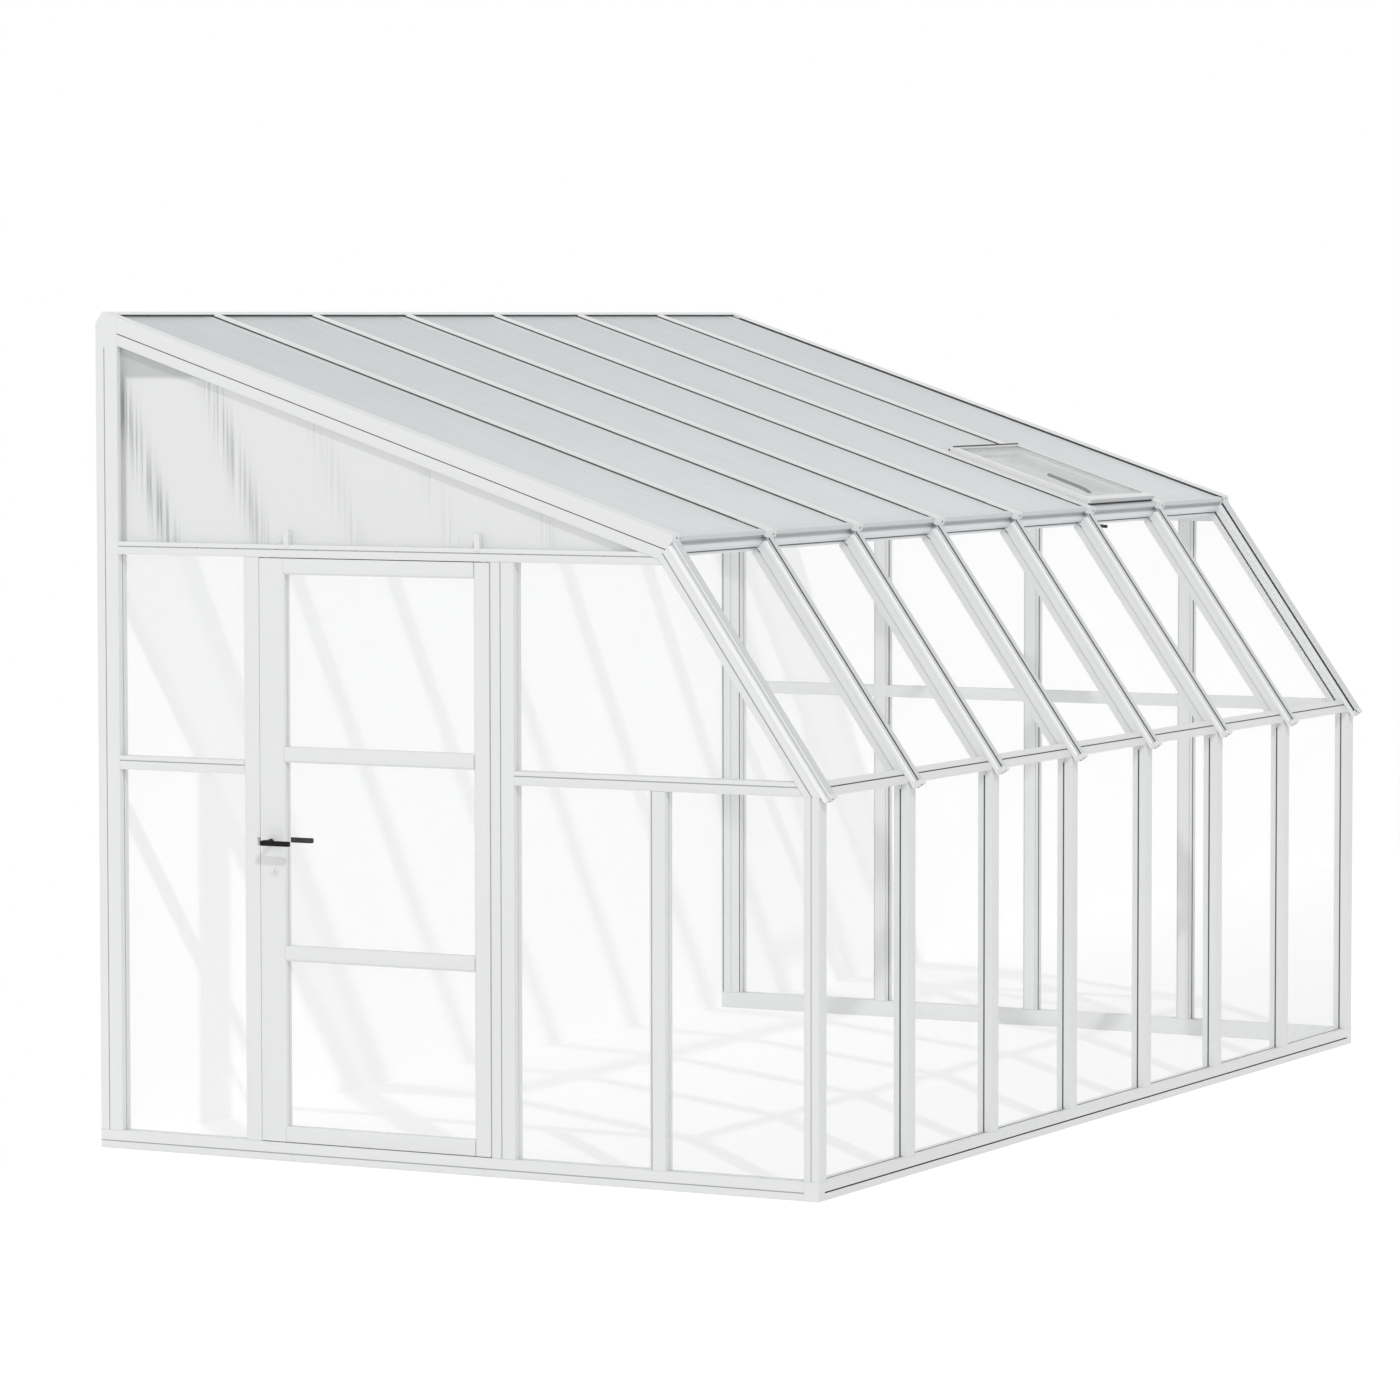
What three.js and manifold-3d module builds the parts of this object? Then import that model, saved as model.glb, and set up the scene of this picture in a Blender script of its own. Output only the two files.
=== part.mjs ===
// Lean-to greenhouse with a sloped front, a side door and a roof vent.
// Millimetres, +Z up. X runs along the house wall, the door gable is at -X.
// The house wall is at +Y, the long glazed front at -Y, the floor is z = 0.
import * as THREE from 'three';
import { mergeVertices } from 'three/addons/utils/BufferGeometryUtils.js';
import Module from 'manifold-3d';

const wasm = await Module();
wasm.setup();

// Overall sizes
const length = 4400;
const depth = 2600;
const bayCount = 7;
// The panes of the front and of the slope meet at the eave.
const eaveHeight = 1235;
// The panes of the slope and of the roof meet at the knee.
const kneeHeight = 2033;
const kneeReach = 559;
const wallHeight = 2698.5;

// Profiles
const wallThickness = 50;
const barWidth = 54;
const endBarWidth = 57;
const sillHeight = 60;
const cornerPostDepth = 51;
const rearPostWidth = 82;
const topRailHeight = 41;
const midRailHeight = 44;
const roofBarDrop = 45;
const roofCapHeight = 13;
const roofCapEdge = 9;
const rakeDrop = 74;
const slopeBarDrop = 24;
const slopeBarRise = 24;
const slopeCapHeight = 50;
const slopeCapEdge = 33;
const endBarInset = 30;

// Glazing
const clearThickness = 4;
const twinWallThickness = 10;
const biteDepth = 12;
const stripDepth = 9;
const paneClearance = 0.4;

// Fits between touching pieces
const gap = 0.3;
const overrunLength = 5;

// Eave, knee and wall plate
const eaveSeatDepth = 3;
const eaveReach = 35;
const tailReach = 38;
const purlinReach = 100;
const purlinFrontReach = 70;
const purlinBackReach = 18;
const purlinDrop = 62;
const sheetOverhang = 84.5;
const noseDepth = 14;
const noseGap = 1;
const noseDrop = 12;
const noseReach = 14;
const platePlaneDrop = 62;
const ridgeTopInset = 28;
const ridgeBackDrop = 34;
const tipCut = 28;

// Door gable
const rearBayWidth = 474;
const rearDoorStudWidth = 56;
const doorOpeningWidth = 846;
const frontDoorStudWidth = 83;
const headHeight = 1925;

// Door leaf
const leafThickness = 43;
const leafLockGap = 3;
const leafHingeGap = 6;
const leafFloorGap = 3;
const leafHeadGap = 11;
const hingeStileWidth = 55;
const lockStileWidth = 89;
const bottomRailHeight = 49;
const leafTopRailHeight = 43;
const leafMidRailHeight = 49;
const lowerMidRailHeight = 641;
const upperMidRailHeight = 1275;
const leafBite = 10;
const pivotInset = 12;
const pinRadius = 5;
const pinReach = 10;
const pinClearance = 0.5;
const stopThickness = 6.5;
const stopReach = 12;

// Door handle, latch and lock
const spindleHeight = 1020;
const spindleBackset = 40;
const spindleSize = 8;
const spindleHoleRadius = 6.5;
const spindleFit = 0.3;
const neckRadius = 9;
const neckLength = 43;
const neckGap = 0.4;
const leverLength = 105;
const leverHeight = 15;
const leverThickness = 12;
const leverOverhang = 9;
const spindleEngage = 30;
const latchLength = 31;
const latchWidth = 14;
const latchHeight = 20;
const latchReach = 12;
const latchStroke = 12;
const latchFit = 0.4;
const strikeClearance = 3;
const cylinderDrop = 95;
const cylinderRadius = 9;
const cylinderReach = 7;
const cylinderBackset = 53;

// Roof vent, placed up the roof from the knee
const ventBay = 6;
const ventHoleFoot = 25;
const ventHoleLength = 440;
const curbSideWidth = 27;
const curbHeadWidth = 47;
const curbFootWidth = 91;
const curbTop = 15;
const curbSideGap = 1;
const sashGap = 0.6;
const sashThickness = 15.4;
const sashRailWidth = 38;
const sashSideGap = 3;
const sashFootOverlap = 6;
const ventPaneThickness = 6;
const hingeRodRadius = 3.5;
const hingeRodGap = 0.5;
const hingeRodHeight = 18;

// Vent stay, a curved arm with a hand grip, on a pin behind the knee purlin
const stayPivotReach = 16;
const stayPivotDrop = 22;
const stayThickness = 8;
const stayHubRadius = 8;
const stayPinRadius = 3;
const stayPinFit = 0.4;
const stayArmLength = 235;
const stayArmWidth = 12;
const stayArmRise = 16;
const stayArmBow = 9;
const stayGripDrop = 70;
const stayGripReach = 66;
const stayGripWidth = 13;
const stayLugThickness = 5;
const stayLugGap = 0.4;
const stayLugHeight = 20;

const roundSteps = 24;
const capSteps = 6;
const bowSteps = 8;

// Derived places in the gable plane, as points (y, z)
const frontFace = -depth / 2;
const wallFace = depth / 2;
const paneInset = wallThickness / 2;
const frontPane = frontFace + paneInset;
const bayPitch = (length - 2 * endBarInset) / bayCount;
const eave = [frontPane, eaveHeight];
const knee = [frontPane + kneeReach, kneeHeight];
const slopeLength = Math.hypot(kneeReach, kneeHeight - eaveHeight);
const slopeUp = [kneeReach / slopeLength, (kneeHeight - eaveHeight) / slopeLength];
const slopeOut = [-slopeUp[1], slopeUp[0]];
const roofRun = wallFace - knee[0];
const roofLength = Math.hypot(roofRun, wallHeight - kneeHeight);
const roofUp = [roofRun / roofLength, (wallHeight - kneeHeight) / roofLength];
const roofOut = [-roofUp[1], roofUp[0]];

const slopePoint = (run, rise) => [
  eave[0] + run * slopeUp[0] + rise * slopeOut[0],
  eave[1] + run * slopeUp[1] + rise * slopeOut[1],
];
const roofPoint = (run, rise) => [
  knee[0] + run * roofUp[0] + rise * roofOut[0],
  knee[1] + run * roofUp[1] + rise * roofOut[1],
];

// Lines in the gable plane and where two of them meet
const slopeLine = (rise) => ({ at: slopePoint(0, rise), along: slopeUp });
const roofLine = (rise) => ({ at: roofPoint(0, rise), along: roofUp });
const slopeCross = (run) => ({ at: slopePoint(run, 0), along: slopeOut });
const level = (z) => ({ at: [0, z], along: [1, 0] });
const upright = (y) => ({ at: [y, 0], along: [0, 1] });
function meet(first, second) {
  const dy = second.at[0] - first.at[0];
  const dz = second.at[1] - first.at[1];
  const cross = first.along[0] * second.along[1] - first.along[1] * second.along[0];
  const t = (dy * second.along[1] - dz * second.along[0]) / cross;
  return [first.at[0] + t * first.along[0], first.at[1] + t * first.along[1]];
}

// Solids
function toSolid(geometry) {
  geometry.deleteAttribute('normal');
  geometry.deleteAttribute('uv');
  const merged = mergeVertices(geometry);
  return new wasm.Manifold(new wasm.Mesh({
    numProp: 3,
    vertProperties: new Float32Array(merged.attributes.position.array),
    triVerts: new Uint32Array(merged.index.array),
  }));
}

// A flat outline drawn out square to itself
function flat(outline, from, to) {
  const points = outline.map(([a, b]) => new THREE.Vector2(a, b));
  if (THREE.ShapeUtils.area(points) < 0) points.reverse();
  const geometry = new THREE.ExtrudeGeometry(new THREE.Shape(points), {
    depth: to - from,
    bevelEnabled: false,
    curveSegments: 1,
  });
  geometry.translate(0, 0, from);
  return toSolid(geometry);
}

// A flat solid moved onto a plane with axes u and v and normal n
const place = (solid, { u, v, n, origin }) => solid.transform(
  new THREE.Matrix4().makeBasis(u, v, n).setPosition(origin).toArray());
const extrude = (outline, from, to, plane) => place(flat(outline, from, to), plane);

const axisX = new THREE.Vector3(1, 0, 0);
const axisY = new THREE.Vector3(0, 1, 0);
const axisZ = new THREE.Vector3(0, 0, 1);
const world = new THREE.Vector3(0, 0, 0);
const inGable = ([y, z]) => new THREE.Vector3(0, y, z);

// An outline in the gable plane drawn out along X
const gablePlane = { u: axisY, v: axisZ, n: axisX, origin: world };
const alongX = (outline, from, to) => extrude(outline, from, to, gablePlane);
// An outline on the ground plane drawn up
const upward = (outline, from, to) => flat(outline, from, to);
// The pane plane of each glazed wall
const frontPlane = {
  u: axisX, v: axisZ, n: axisY.clone().negate(), origin: new THREE.Vector3(0, frontPane, 0),
};
const slopePlane = {
  u: axisX, v: inGable(slopeUp), n: inGable(slopeOut), origin: inGable(eave),
};
const roofPlane = { u: axisX, v: inGable(roofUp), n: inGable(roofOut), origin: inGable(knee) };
const gablePanes = (x) => ({ ...gablePlane, origin: new THREE.Vector3(x, 0, 0) });

const rect = (a0, a1, b0, b1) => [[a0, b0], [a1, b0], [a1, b1], [a0, b1]];
const block = (x0, x1, y0, y1, z0, z1) => upward(rect(x0, x1, y0, y1), z0, z1);
const disc = (cu, cv, radius) => {
  const points = [];
  for (let i = 0; i < roundSteps; i += 1) {
    const angle = 2 * Math.PI * i / roundSteps;
    points.push([cu + radius * Math.cos(angle), cv + radius * Math.sin(angle)]);
  }
  return points;
};

// A convex outline with every edge moved out by the same distance
function grown(outline, distance) {
  const points = outline.map(([a, b]) => new THREE.Vector2(a, b));
  if (THREE.ShapeUtils.area(points) < 0) points.reverse();
  const edges = points.map((p, i) => {
    const q = points[(i + 1) % points.length];
    const along = q.clone().sub(p).normalize();
    const out = new THREE.Vector2(along.y, -along.x).multiplyScalar(distance);
    return { at: [p.x + out.x, p.y + out.y], along: [along.x, along.y] };
  });
  return edges.map((edge, i) => meet(edges[(i + edges.length - 1) % edges.length], edge));
}

// One sheet made of bay outlines and the strips that join them in the channels
function flatSheet(outlines, thickness, extra) {
  const half = thickness / 2 + extra;
  return outlines.map((outline) => flat(grown(outline, extra), -half, half))
    .reduce((joined, piece) => joined.add(piece));
}
const sheet = (plane, outlines, thickness, extra) => place(
  flatSheet(outlines, thickness, extra), plane);

const pieces = new Map();
const finish = {
  frame: { color: 0xe9ebeb, roughness: 0.45, metalness: 0 },
  purlin: { color: 0xb9c1c9, roughness: 0.4, metalness: 0.3 },
  clear: { color: 0xf2f6f6, roughness: 0.08, metalness: 0 },
  frosted: { color: 0xd9dfe0, roughness: 0.5, metalness: 0 },
  black: { color: 0x101012, roughness: 0.5, metalness: 0 },
  latch: { color: 0xb8bcc0, roughness: 0.35, metalness: 0.8 },
};
const put = (name, solid, look) => pieces.set(name, { solid, look });

// The places of the bars along X
const barPlaces = [];
for (let i = 1; i < bayCount; i += 1) barPlaces.push(-length / 2 + endBarInset + i * bayPitch);
const bayEdges = (endEdge) => {
  const edges = [];
  for (let i = 0; i < bayCount; i += 1) {
    const left = i === 0 ? -endEdge : barPlaces[i - 1] + barWidth / 2;
    const right = i === bayCount - 1 ? endEdge : barPlaces[i] - barWidth / 2;
    edges.push([left, right]);
  }
  return edges;
};
const roofEdge = length / 2 - endBarWidth;
const frontEdge = length / 2 - barWidth;
const postTop = eaveHeight - eaveSeatDepth;

// Sheets of the front, the slope and the roof
const frontBays = bayEdges(frontEdge);
const frontOutlines = frontBays.map(([a, b]) => grown(rect(a, b, sillHeight, postTop), biteDepth));
frontOutlines.push(rect(-frontEdge - biteDepth, frontEdge + biteDepth, sillHeight - biteDepth,
  sillHeight - biteDepth + stripDepth));
const frontSheet = (extra) => sheet(frontPlane, frontOutlines, clearThickness, extra);

const slopeTop = slopeLength - purlinReach;
const roofBays = bayEdges(roofEdge);
const slopeOutlines = roofBays.map(([a, b]) => grown(rect(a, b, eaveReach, slopeTop), biteDepth));
slopeOutlines.push(rect(-roofEdge - biteDepth, roofEdge + biteDepth, slopeTop + biteDepth - stripDepth,
  slopeTop + biteDepth));
const slopeSheet = (extra) => sheet(slopePlane, slopeOutlines, clearThickness, extra);

const plateRun = (wallFace - wallThickness - knee[0]) / roofUp[0];
const roofOutlines = roofBays.map(([a, b]) => rect(a - biteDepth, b + biteDepth, -sheetOverhang,
  plateRun + biteDepth));
roofOutlines.push(rect(-roofEdge - biteDepth, roofEdge + biteDepth, plateRun + biteDepth - stripDepth,
  plateRun + biteDepth));
const [ventLeft, ventRight] = roofBays[ventBay - 1];
const holeHead = ventHoleFoot + ventHoleLength;
const holeLeft = ventLeft + curbSideWidth + curbSideGap;
const holeRight = ventRight - curbSideWidth - curbSideGap;
const roofHalf = twinWallThickness / 2;
const ventHole = rect(holeLeft, holeRight, ventHoleFoot, holeHead);
const roofSheet = (extra) => sheet(roofPlane, roofOutlines, twinWallThickness, extra);

const frontCut = frontSheet(paneClearance);
const slopeCut = slopeSheet(paneClearance);
const roofCut = roofSheet(paneClearance);

// Long members along X
const longEnd = roofEdge - gap;
const purlinFace = knee[0] - purlinFrontReach;
const purlin = [
  meet(roofLine(-roofHalf - gap), upright(purlinFace)),
  meet(slopeCross(slopeTop), upright(purlinFace)),
  slopePoint(slopeTop, -slopeBarDrop),
  roofPoint(purlinBackReach, -purlinDrop),
  roofPoint(purlinBackReach, -roofHalf - gap),
];
const eaveRail = [
  [frontFace, postTop],
  meet(slopeLine(slopeBarRise), upright(frontFace)),
  slopePoint(eaveReach, slopeBarRise),
  slopePoint(eaveReach, -slopeBarDrop),
  meet(upright(slopePoint(eaveReach, -slopeBarDrop)[0]), level(postTop)),
];
const wallPlate = [
  roofPoint(plateRun, roofCapHeight),
  meet(roofLine(roofCapHeight), upright(wallFace - ridgeTopInset)),
  [wallFace, wallHeight - ridgeBackDrop],
  [wallFace, roofPoint(plateRun, -platePlaneDrop)[1]],
  roofPoint(plateRun, -platePlaneDrop),
];

// Gable walls. side is -1 at the door gable and 1 at the far gable.
const gableBox = (side, outline) => {
  const outer = side * length / 2;
  const inner = side * (length / 2 - wallThickness);
  return alongX(outline, Math.min(outer, inner), Math.max(outer, inner));
};
const postInner = wallFace - rearPostWidth;
const cornerInner = frontFace + cornerPostDepth;
const rearStudBack = postInner - rearBayWidth;
const rearStudFront = rearStudBack - rearDoorStudWidth;
const frontStudBack = rearStudFront - doorOpeningWidth;
const frontStudFront = frontStudBack - frontDoorStudWidth;
const shortStud = (frontStudFront + cornerInner) / 2;
const midRailBottom = postTop;
const midRailTop = postTop + midRailHeight;
const headTop = headHeight + topRailHeight;
const kneeInner = meet(roofLine(-rakeDrop), slopeLine(-slopeBarDrop));
// The end roof bar runs on to a nose in front of the knee
const noseTop = meet(roofLine(roofCapHeight), upright(purlinFace - noseReach));
const kneeOuter = meet(slopeLine(slopeCapHeight), upright(purlinFace - noseReach));
const slopeInner = slopeLine(-slopeBarDrop);
const rakeInner = roofLine(-rakeDrop);
const rakeAtHead = meet(rakeInner, level(headTop));

// The gable inside its sloping bars, in front of the rear post, moved in or out by a distance
const gableInside = (from, to, distance) => {
  const rake = roofLine(distance - rakeDrop);
  const slope = slopeLine(distance - slopeBarDrop);
  const back = upright(postInner + distance);
  const floor = level(-overrunLength);
  return flat([meet(back, floor), meet(back, rake), meet(rake, slope), meet(slope, floor)],
    from, to);
};
// A rail as wide as the gable, cut to length by the bars that it meets
const cutRail = (side, y0, z0, z1) => {
  const outer = side * length / 2;
  const inner = side * (length / 2 - wallThickness);
  const [from, to] = [Math.min(outer, inner), Math.max(outer, inner)];
  return place(flat(rect(y0, postInner, z0, z1), from, to)
    .intersect(gableInside(from, to, -gap)), gablePlane);
};
const upperStart = rakeAtHead[0] + tipCut;
const upperOutline = rect(upperStart, postInner, headTop, wallHeight);
// The slanted pane above the middle rail, from a stud edge to the slope bar
const slantOutline = (edge) => rect(frontFace, edge, midRailTop, headHeight);
const bayOutline = (y0, y1, z0, z1) => grown(rect(y0, y1, z0, z1), biteDepth);
const lowerStrip = (y0, y1) => rect(y0, y1, sillHeight - biteDepth, sillHeight - biteDepth + stripDepth);
const sideStrip = (edge, side) => rect(edge + side * (biteDepth - stripDepth), edge + side * biteDepth,
  midRailBottom - biteDepth, midRailTop + biteDepth);

const rearOutlines = [
  bayOutline(rearStudBack, postInner, sillHeight, midRailBottom),
  bayOutline(rearStudBack, postInner, midRailTop, headHeight),
  sideStrip(postInner, 1),
];
const frontGableOutlines = [
  bayOutline(shortStud + barWidth / 2, frontStudFront, sillHeight, midRailBottom),
  bayOutline(cornerInner, shortStud - barWidth / 2, sillHeight, midRailBottom),
  grown(slantOutline(frontStudFront), biteDepth),
  sideStrip(frontStudFront, 1),
  lowerStrip(cornerInner, frontStudFront),
];
const farStudCount = 3;
const farBay = (postInner - cornerInner - farStudCount * barWidth) / (farStudCount + 1);
const farStuds = [];
for (let i = 1; i <= farStudCount; i += 1) {
  farStuds.push(postInner - i * farBay - (i - 1 / 2) * barWidth);
}
const farOutlines = [
  lowerStrip(cornerInner, postInner),
  rect(farStuds[farStudCount - 1] - barWidth, postInner, midRailTop - biteDepth,
    midRailTop - biteDepth + stripDepth),
  sideStrip(postInner, 1),
  grown(slantOutline(farStuds[farStudCount - 1] - barWidth / 2), biteDepth),
];
for (let i = 0; i <= farStudCount; i += 1) {
  const back = i === 0 ? postInner : farStuds[i - 1] - barWidth / 2;
  const front = i === farStudCount ? cornerInner : farStuds[i] + barWidth / 2;
  farOutlines.push(bayOutline(front, back, sillHeight, midRailBottom));
  if (i < farStudCount) farOutlines.push(bayOutline(front, back, midRailTop, headHeight));
}
const doorGable = gablePanes(paneInset - length / 2);
const farGable = gablePanes(length / 2 - paneInset);
// Panes of a gable end where they enter the sloping bars
const gableSheet = (plane, outlines, thickness, extra) => {
  const deep = thickness + overrunLength;
  return place(flatSheet(outlines, thickness, extra)
    .intersect(gableInside(-deep, deep, biteDepth + extra)), plane);
};
const upperSheet = (plane, extra) => gableSheet(plane, [grown(upperOutline, biteDepth)],
  twinWallThickness, extra);
const doorPanes = (extra) => ({
  rear: sheet(doorGable, rearOutlines, clearThickness, extra),
  front: gableSheet(doorGable, frontGableOutlines, clearThickness, extra),
  upper: upperSheet(doorGable, extra),
});
const farPanes = (extra) => ({
  lower: gableSheet(farGable, farOutlines, clearThickness, extra),
  upper: upperSheet(farGable, extra),
});
const doorCutPanes = doorPanes(paneClearance);
const doorCut = doorCutPanes.rear.add(doorCutPanes.front).add(doorCutPanes.upper);
const farCutPanes = farPanes(paneClearance);
const farCut = farCutPanes.lower.add(farCutPanes.upper);
const sideCut = (side) => (side < 0 ? doorCut : farCut);

// Door leaf and its pivot
const leafFront = frontStudBack + leafHingeGap;
const leafBack = rearStudFront - leafLockGap;
const leafBottom = sillHeight + leafFloorGap;
const leafTop = headHeight - leafHeadGap;
const leafOuter = -length / 2;
const leafInner = leafOuter + leafThickness;
const pivotX = leafOuter + pivotInset;
const pivotY = leafFront + pivotInset;
const pin = (radius, z0, z1) => upward(disc(pivotX, pivotY, radius), z0, z1);
const pinHoles = pin(pinRadius + pinClearance, sillHeight - pinReach - leafFloorGap,
  sillHeight + overrunLength)
  .add(pin(pinRadius + pinClearance, headHeight - overrunLength, headHeight + pinReach + leafFloorGap));

// Strike notch in the rear door stud, open to the outside
const latchX = leafOuter + leafThickness / 2;
const latchZ = spindleHeight;
const strike = block(leafOuter - overrunLength, latchX + latchWidth / 2 + latchFit,
  rearStudFront - stopReach - overrunLength,
  rearStudFront - leafLockGap + latchReach + latchFit,
  latchZ - latchHeight / 2 - strikeClearance, latchZ + latchHeight / 2 + strikeClearance);

// Sills
put('front_sill', block(-length / 2, length / 2, frontFace, frontFace + wallThickness, 0,
  sillHeight).subtract(frontCut).subtract(doorCut).subtract(farCut), 'frame');
const sillOutline = rect(frontFace + wallThickness + gap, wallFace, 0, sillHeight);
put('door_gable_sill', gableBox(-1, sillOutline).subtract(doorCut).subtract(pinHoles), 'frame');
put('far_gable_sill', gableBox(1, sillOutline).subtract(farCut), 'frame');

// Posts at the corners and at the house wall
const rearPost = [
  [postInner, sillHeight + gap],
  meet(roofLine(roofCapHeight), upright(postInner)),
  meet(roofLine(roofCapHeight), upright(wallFace - ridgeTopInset)),
  [wallFace, wallHeight - ridgeBackDrop],
  [wallFace, sillHeight + gap],
];
for (const side of [-1, 1]) {
  const gable = side < 0 ? 'door_gable' : 'far_gable';
  put(`${gable}_rear_post`, gableBox(side, rearPost).subtract(sideCut(side)).subtract(roofCut),
    'frame');
  const outer = side * length / 2;
  const inner = side * (length / 2 - barWidth);
  put(`${gable}_corner_post`, block(Math.min(outer, inner), Math.max(outer, inner), frontFace,
    cornerInner, sillHeight + gap, postTop - gap).subtract(sideCut(side)).subtract(frontCut),
  'frame');
}

// Front studs
barPlaces.forEach((x, i) => {
  put(`front_stud_${i + 1}`, block(x - barWidth / 2, x + barWidth / 2, frontFace,
    frontFace + wallThickness, sillHeight + gap, postTop - gap).subtract(frontCut), 'frame');
});

// Door gable studs and rails
const stopInner = leafOuter + wallThickness;
const studSolid = (side, y0, y1, top) => gableBox(side, rect(y0, y1, sillHeight + gap, top));
put('rear_door_stud', studSolid(-1, rearStudFront, rearStudBack, headHeight - gap)
  .subtract(doorCut).add(block(stopInner - stopThickness, stopInner,
    rearStudFront - stopReach, rearStudFront + overrunLength, sillHeight + gap,
    headHeight - stopReach * 2)).subtract(strike), 'frame');
put('front_door_stud', studSolid(-1, frontStudFront, frontStudBack, headHeight - gap)
  .subtract(doorCut), 'frame');
put('short_stud', studSolid(-1, shortStud - barWidth / 2, shortStud + barWidth / 2,
  midRailBottom - gap).subtract(doorCut), 'frame');

const railOutline = (y0, y1) => rect(y0, y1, midRailBottom, midRailTop);
put('rear_mid_rail', gableBox(-1, railOutline(rearStudBack + gap, postInner - gap))
  .subtract(doorCut), 'frame');
put('front_mid_rail', cutRail(-1, frontFace, midRailBottom, midRailTop)
  .subtract(gableBox(-1, rect(frontStudFront - gap, wallFace, 0, headHeight)))
  .subtract(doorCut), 'frame');

const headStop = block(stopInner - stopThickness, stopInner, leafFront + hingeStileWidth,
  rearStudFront - stopReach - gap, headHeight - stopReach * 2, headHeight + overrunLength);
put('door_gable_top_rail', cutRail(-1, frontFace, headHeight, headTop).subtract(doorCut).add(headStop)
  .subtract(pinHoles), 'frame');
put('far_gable_top_rail', cutRail(1, frontFace, headHeight, headTop).subtract(farCut), 'frame');

// Far gable studs and rail, halved into each other where they cross
const farCentre = length / 2 - paneInset;
const farInnerFace = length / 2 - wallThickness;
farStuds.forEach((y, i) => {
  put(`far_stud_${i + 1}`, studSolid(1, y - barWidth / 2, y + barWidth / 2, headHeight - gap)
    .subtract(farCut)
    .subtract(block(farCentre - gap / 2, length / 2 + overrunLength, y - barWidth, y + barWidth,
      midRailBottom - gap, midRailTop + gap)), 'frame');
});
let farRail = cutRail(1, frontFace, midRailBottom, midRailTop).subtract(farCut);
farStuds.forEach((y) => {
  farRail = farRail.subtract(block(farInnerFace - overrunLength, farCentre + gap / 2,
    y - barWidth / 2 - gap, y + barWidth / 2 + gap, midRailBottom - gap, midRailTop + gap));
});
put('far_mid_rail', farRail, 'frame');

// Eave rail, knee purlin and wall plate
put('eave_rail', alongX(eaveRail, -longEnd, longEnd).subtract(frontCut).subtract(slopeCut),
  'frame');
put('knee_purlin', alongX(purlin, -longEnd, longEnd).subtract(slopeCut), 'purlin');
const plateEnd = length / 2 - wallThickness - gap;
put('wall_plate', alongX(wallPlate, -plateEnd, plateEnd).subtract(roofCut), 'frame');

// Bars: a crowned cap over a straight body
const capOutline = (x, foot, edge, crown) => {
  const points = [[x - barWidth / 2, foot], [x + barWidth / 2, foot]];
  for (let i = 0; i <= capSteps; i += 1) {
    const angle = Math.PI * i / capSteps;
    points.push([x + barWidth / 2 * Math.cos(angle),
      edge + (crown - edge) * Math.sin(angle)]);
  }
  return points;
};
// Drawn across the bar and down the slope, or down the roof, from the eave or the knee
const slopeEnd = {
  u: axisX, v: inGable(slopeOut), n: inGable(slopeUp).negate(), origin: inGable(eave),
};
const roofEnd = {
  u: axisX, v: inGable(roofOut), n: inGable(roofUp).negate(), origin: inGable(knee),
};
const downward = (outline, low, high) => flat(outline, -high, -low);

const slopeCapTop = meet(slopeLine(slopeBarRise + gap), upright(purlinFace - gap));
const runUpSlope = ([y, z]) => (y - eave[0]) * slopeUp[0] + (z - eave[1]) * slopeUp[1];
const tailCrown = meet(slopeLine(slopeCapHeight), upright(frontFace - tailReach));
const tailRun = runUpSlope(tailCrown);
const noseFoot = -sheetOverhang - noseGap;
barPlaces.forEach((x, i) => {
  const slopeBar = downward(capOutline(x, -slopeBarDrop, slopeCapEdge, slopeCapHeight),
    eaveReach + gap, slopeTop - gap)
    .add(downward(capOutline(x, slopeBarRise + gap, slopeCapEdge, slopeCapHeight),
      tailRun, runUpSlope(slopeCapTop)));
  put(`slope_bar_${i + 1}`, place(slopeBar, slopeEnd).subtract(slopeCut), 'frame');
  const roofBar = downward(capOutline(x, -roofBarDrop, roofCapEdge, roofCapHeight),
    purlinBackReach + gap, plateRun - gap)
    .add(downward(capOutline(x, -roofHalf, roofCapEdge, roofCapHeight),
      noseFoot - noseDepth, purlinBackReach + overrunLength))
    .add(downward(capOutline(x, -noseDrop, roofCapEdge, roofCapHeight),
      noseFoot - noseDepth, noseFoot));
  put(`roof_bar_${i + 1}`, place(roofBar, roofEnd).subtract(roofCut), 'frame');
});

// End bars, cut to each other at the knee
const shift = (point, along, distance) => [
  point[0] + along[0] * distance, point[1] + along[1] * distance];
const tailFoot = shift(tailCrown, slopeOut, slopeBarRise - slopeCapHeight);
const endSlopeBar = [
  shift(kneeOuter, slopeUp, -gap), tailCrown, tailFoot,
  [frontFace, postTop], meet(slopeInner, level(postTop)),
  shift(kneeInner, slopeUp, -gap),
];
const endRoofBar = [
  noseTop, kneeOuter, kneeInner,
  meet(rakeInner, upright(postInner - gap)),
  meet(roofLine(roofCapHeight), upright(postInner - gap)),
];
for (const side of [-1, 1]) {
  const name = side < 0 ? 'door_gable' : 'far_gable';
  const outer = side * length / 2;
  const inner = side * (length / 2 - endBarWidth);
  const span = [Math.min(outer, inner), Math.max(outer, inner)];
  put(`${name}_slope_bar`, alongX(endSlopeBar, ...span).subtract(slopeCut)
    .subtract(frontCut).subtract(sideCut(side)), 'frame');
  put(`${name}_roof_bar`, alongX(endRoofBar, ...span).subtract(roofCut).subtract(slopeCut)
    .subtract(sideCut(side)), 'frame');
}

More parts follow.
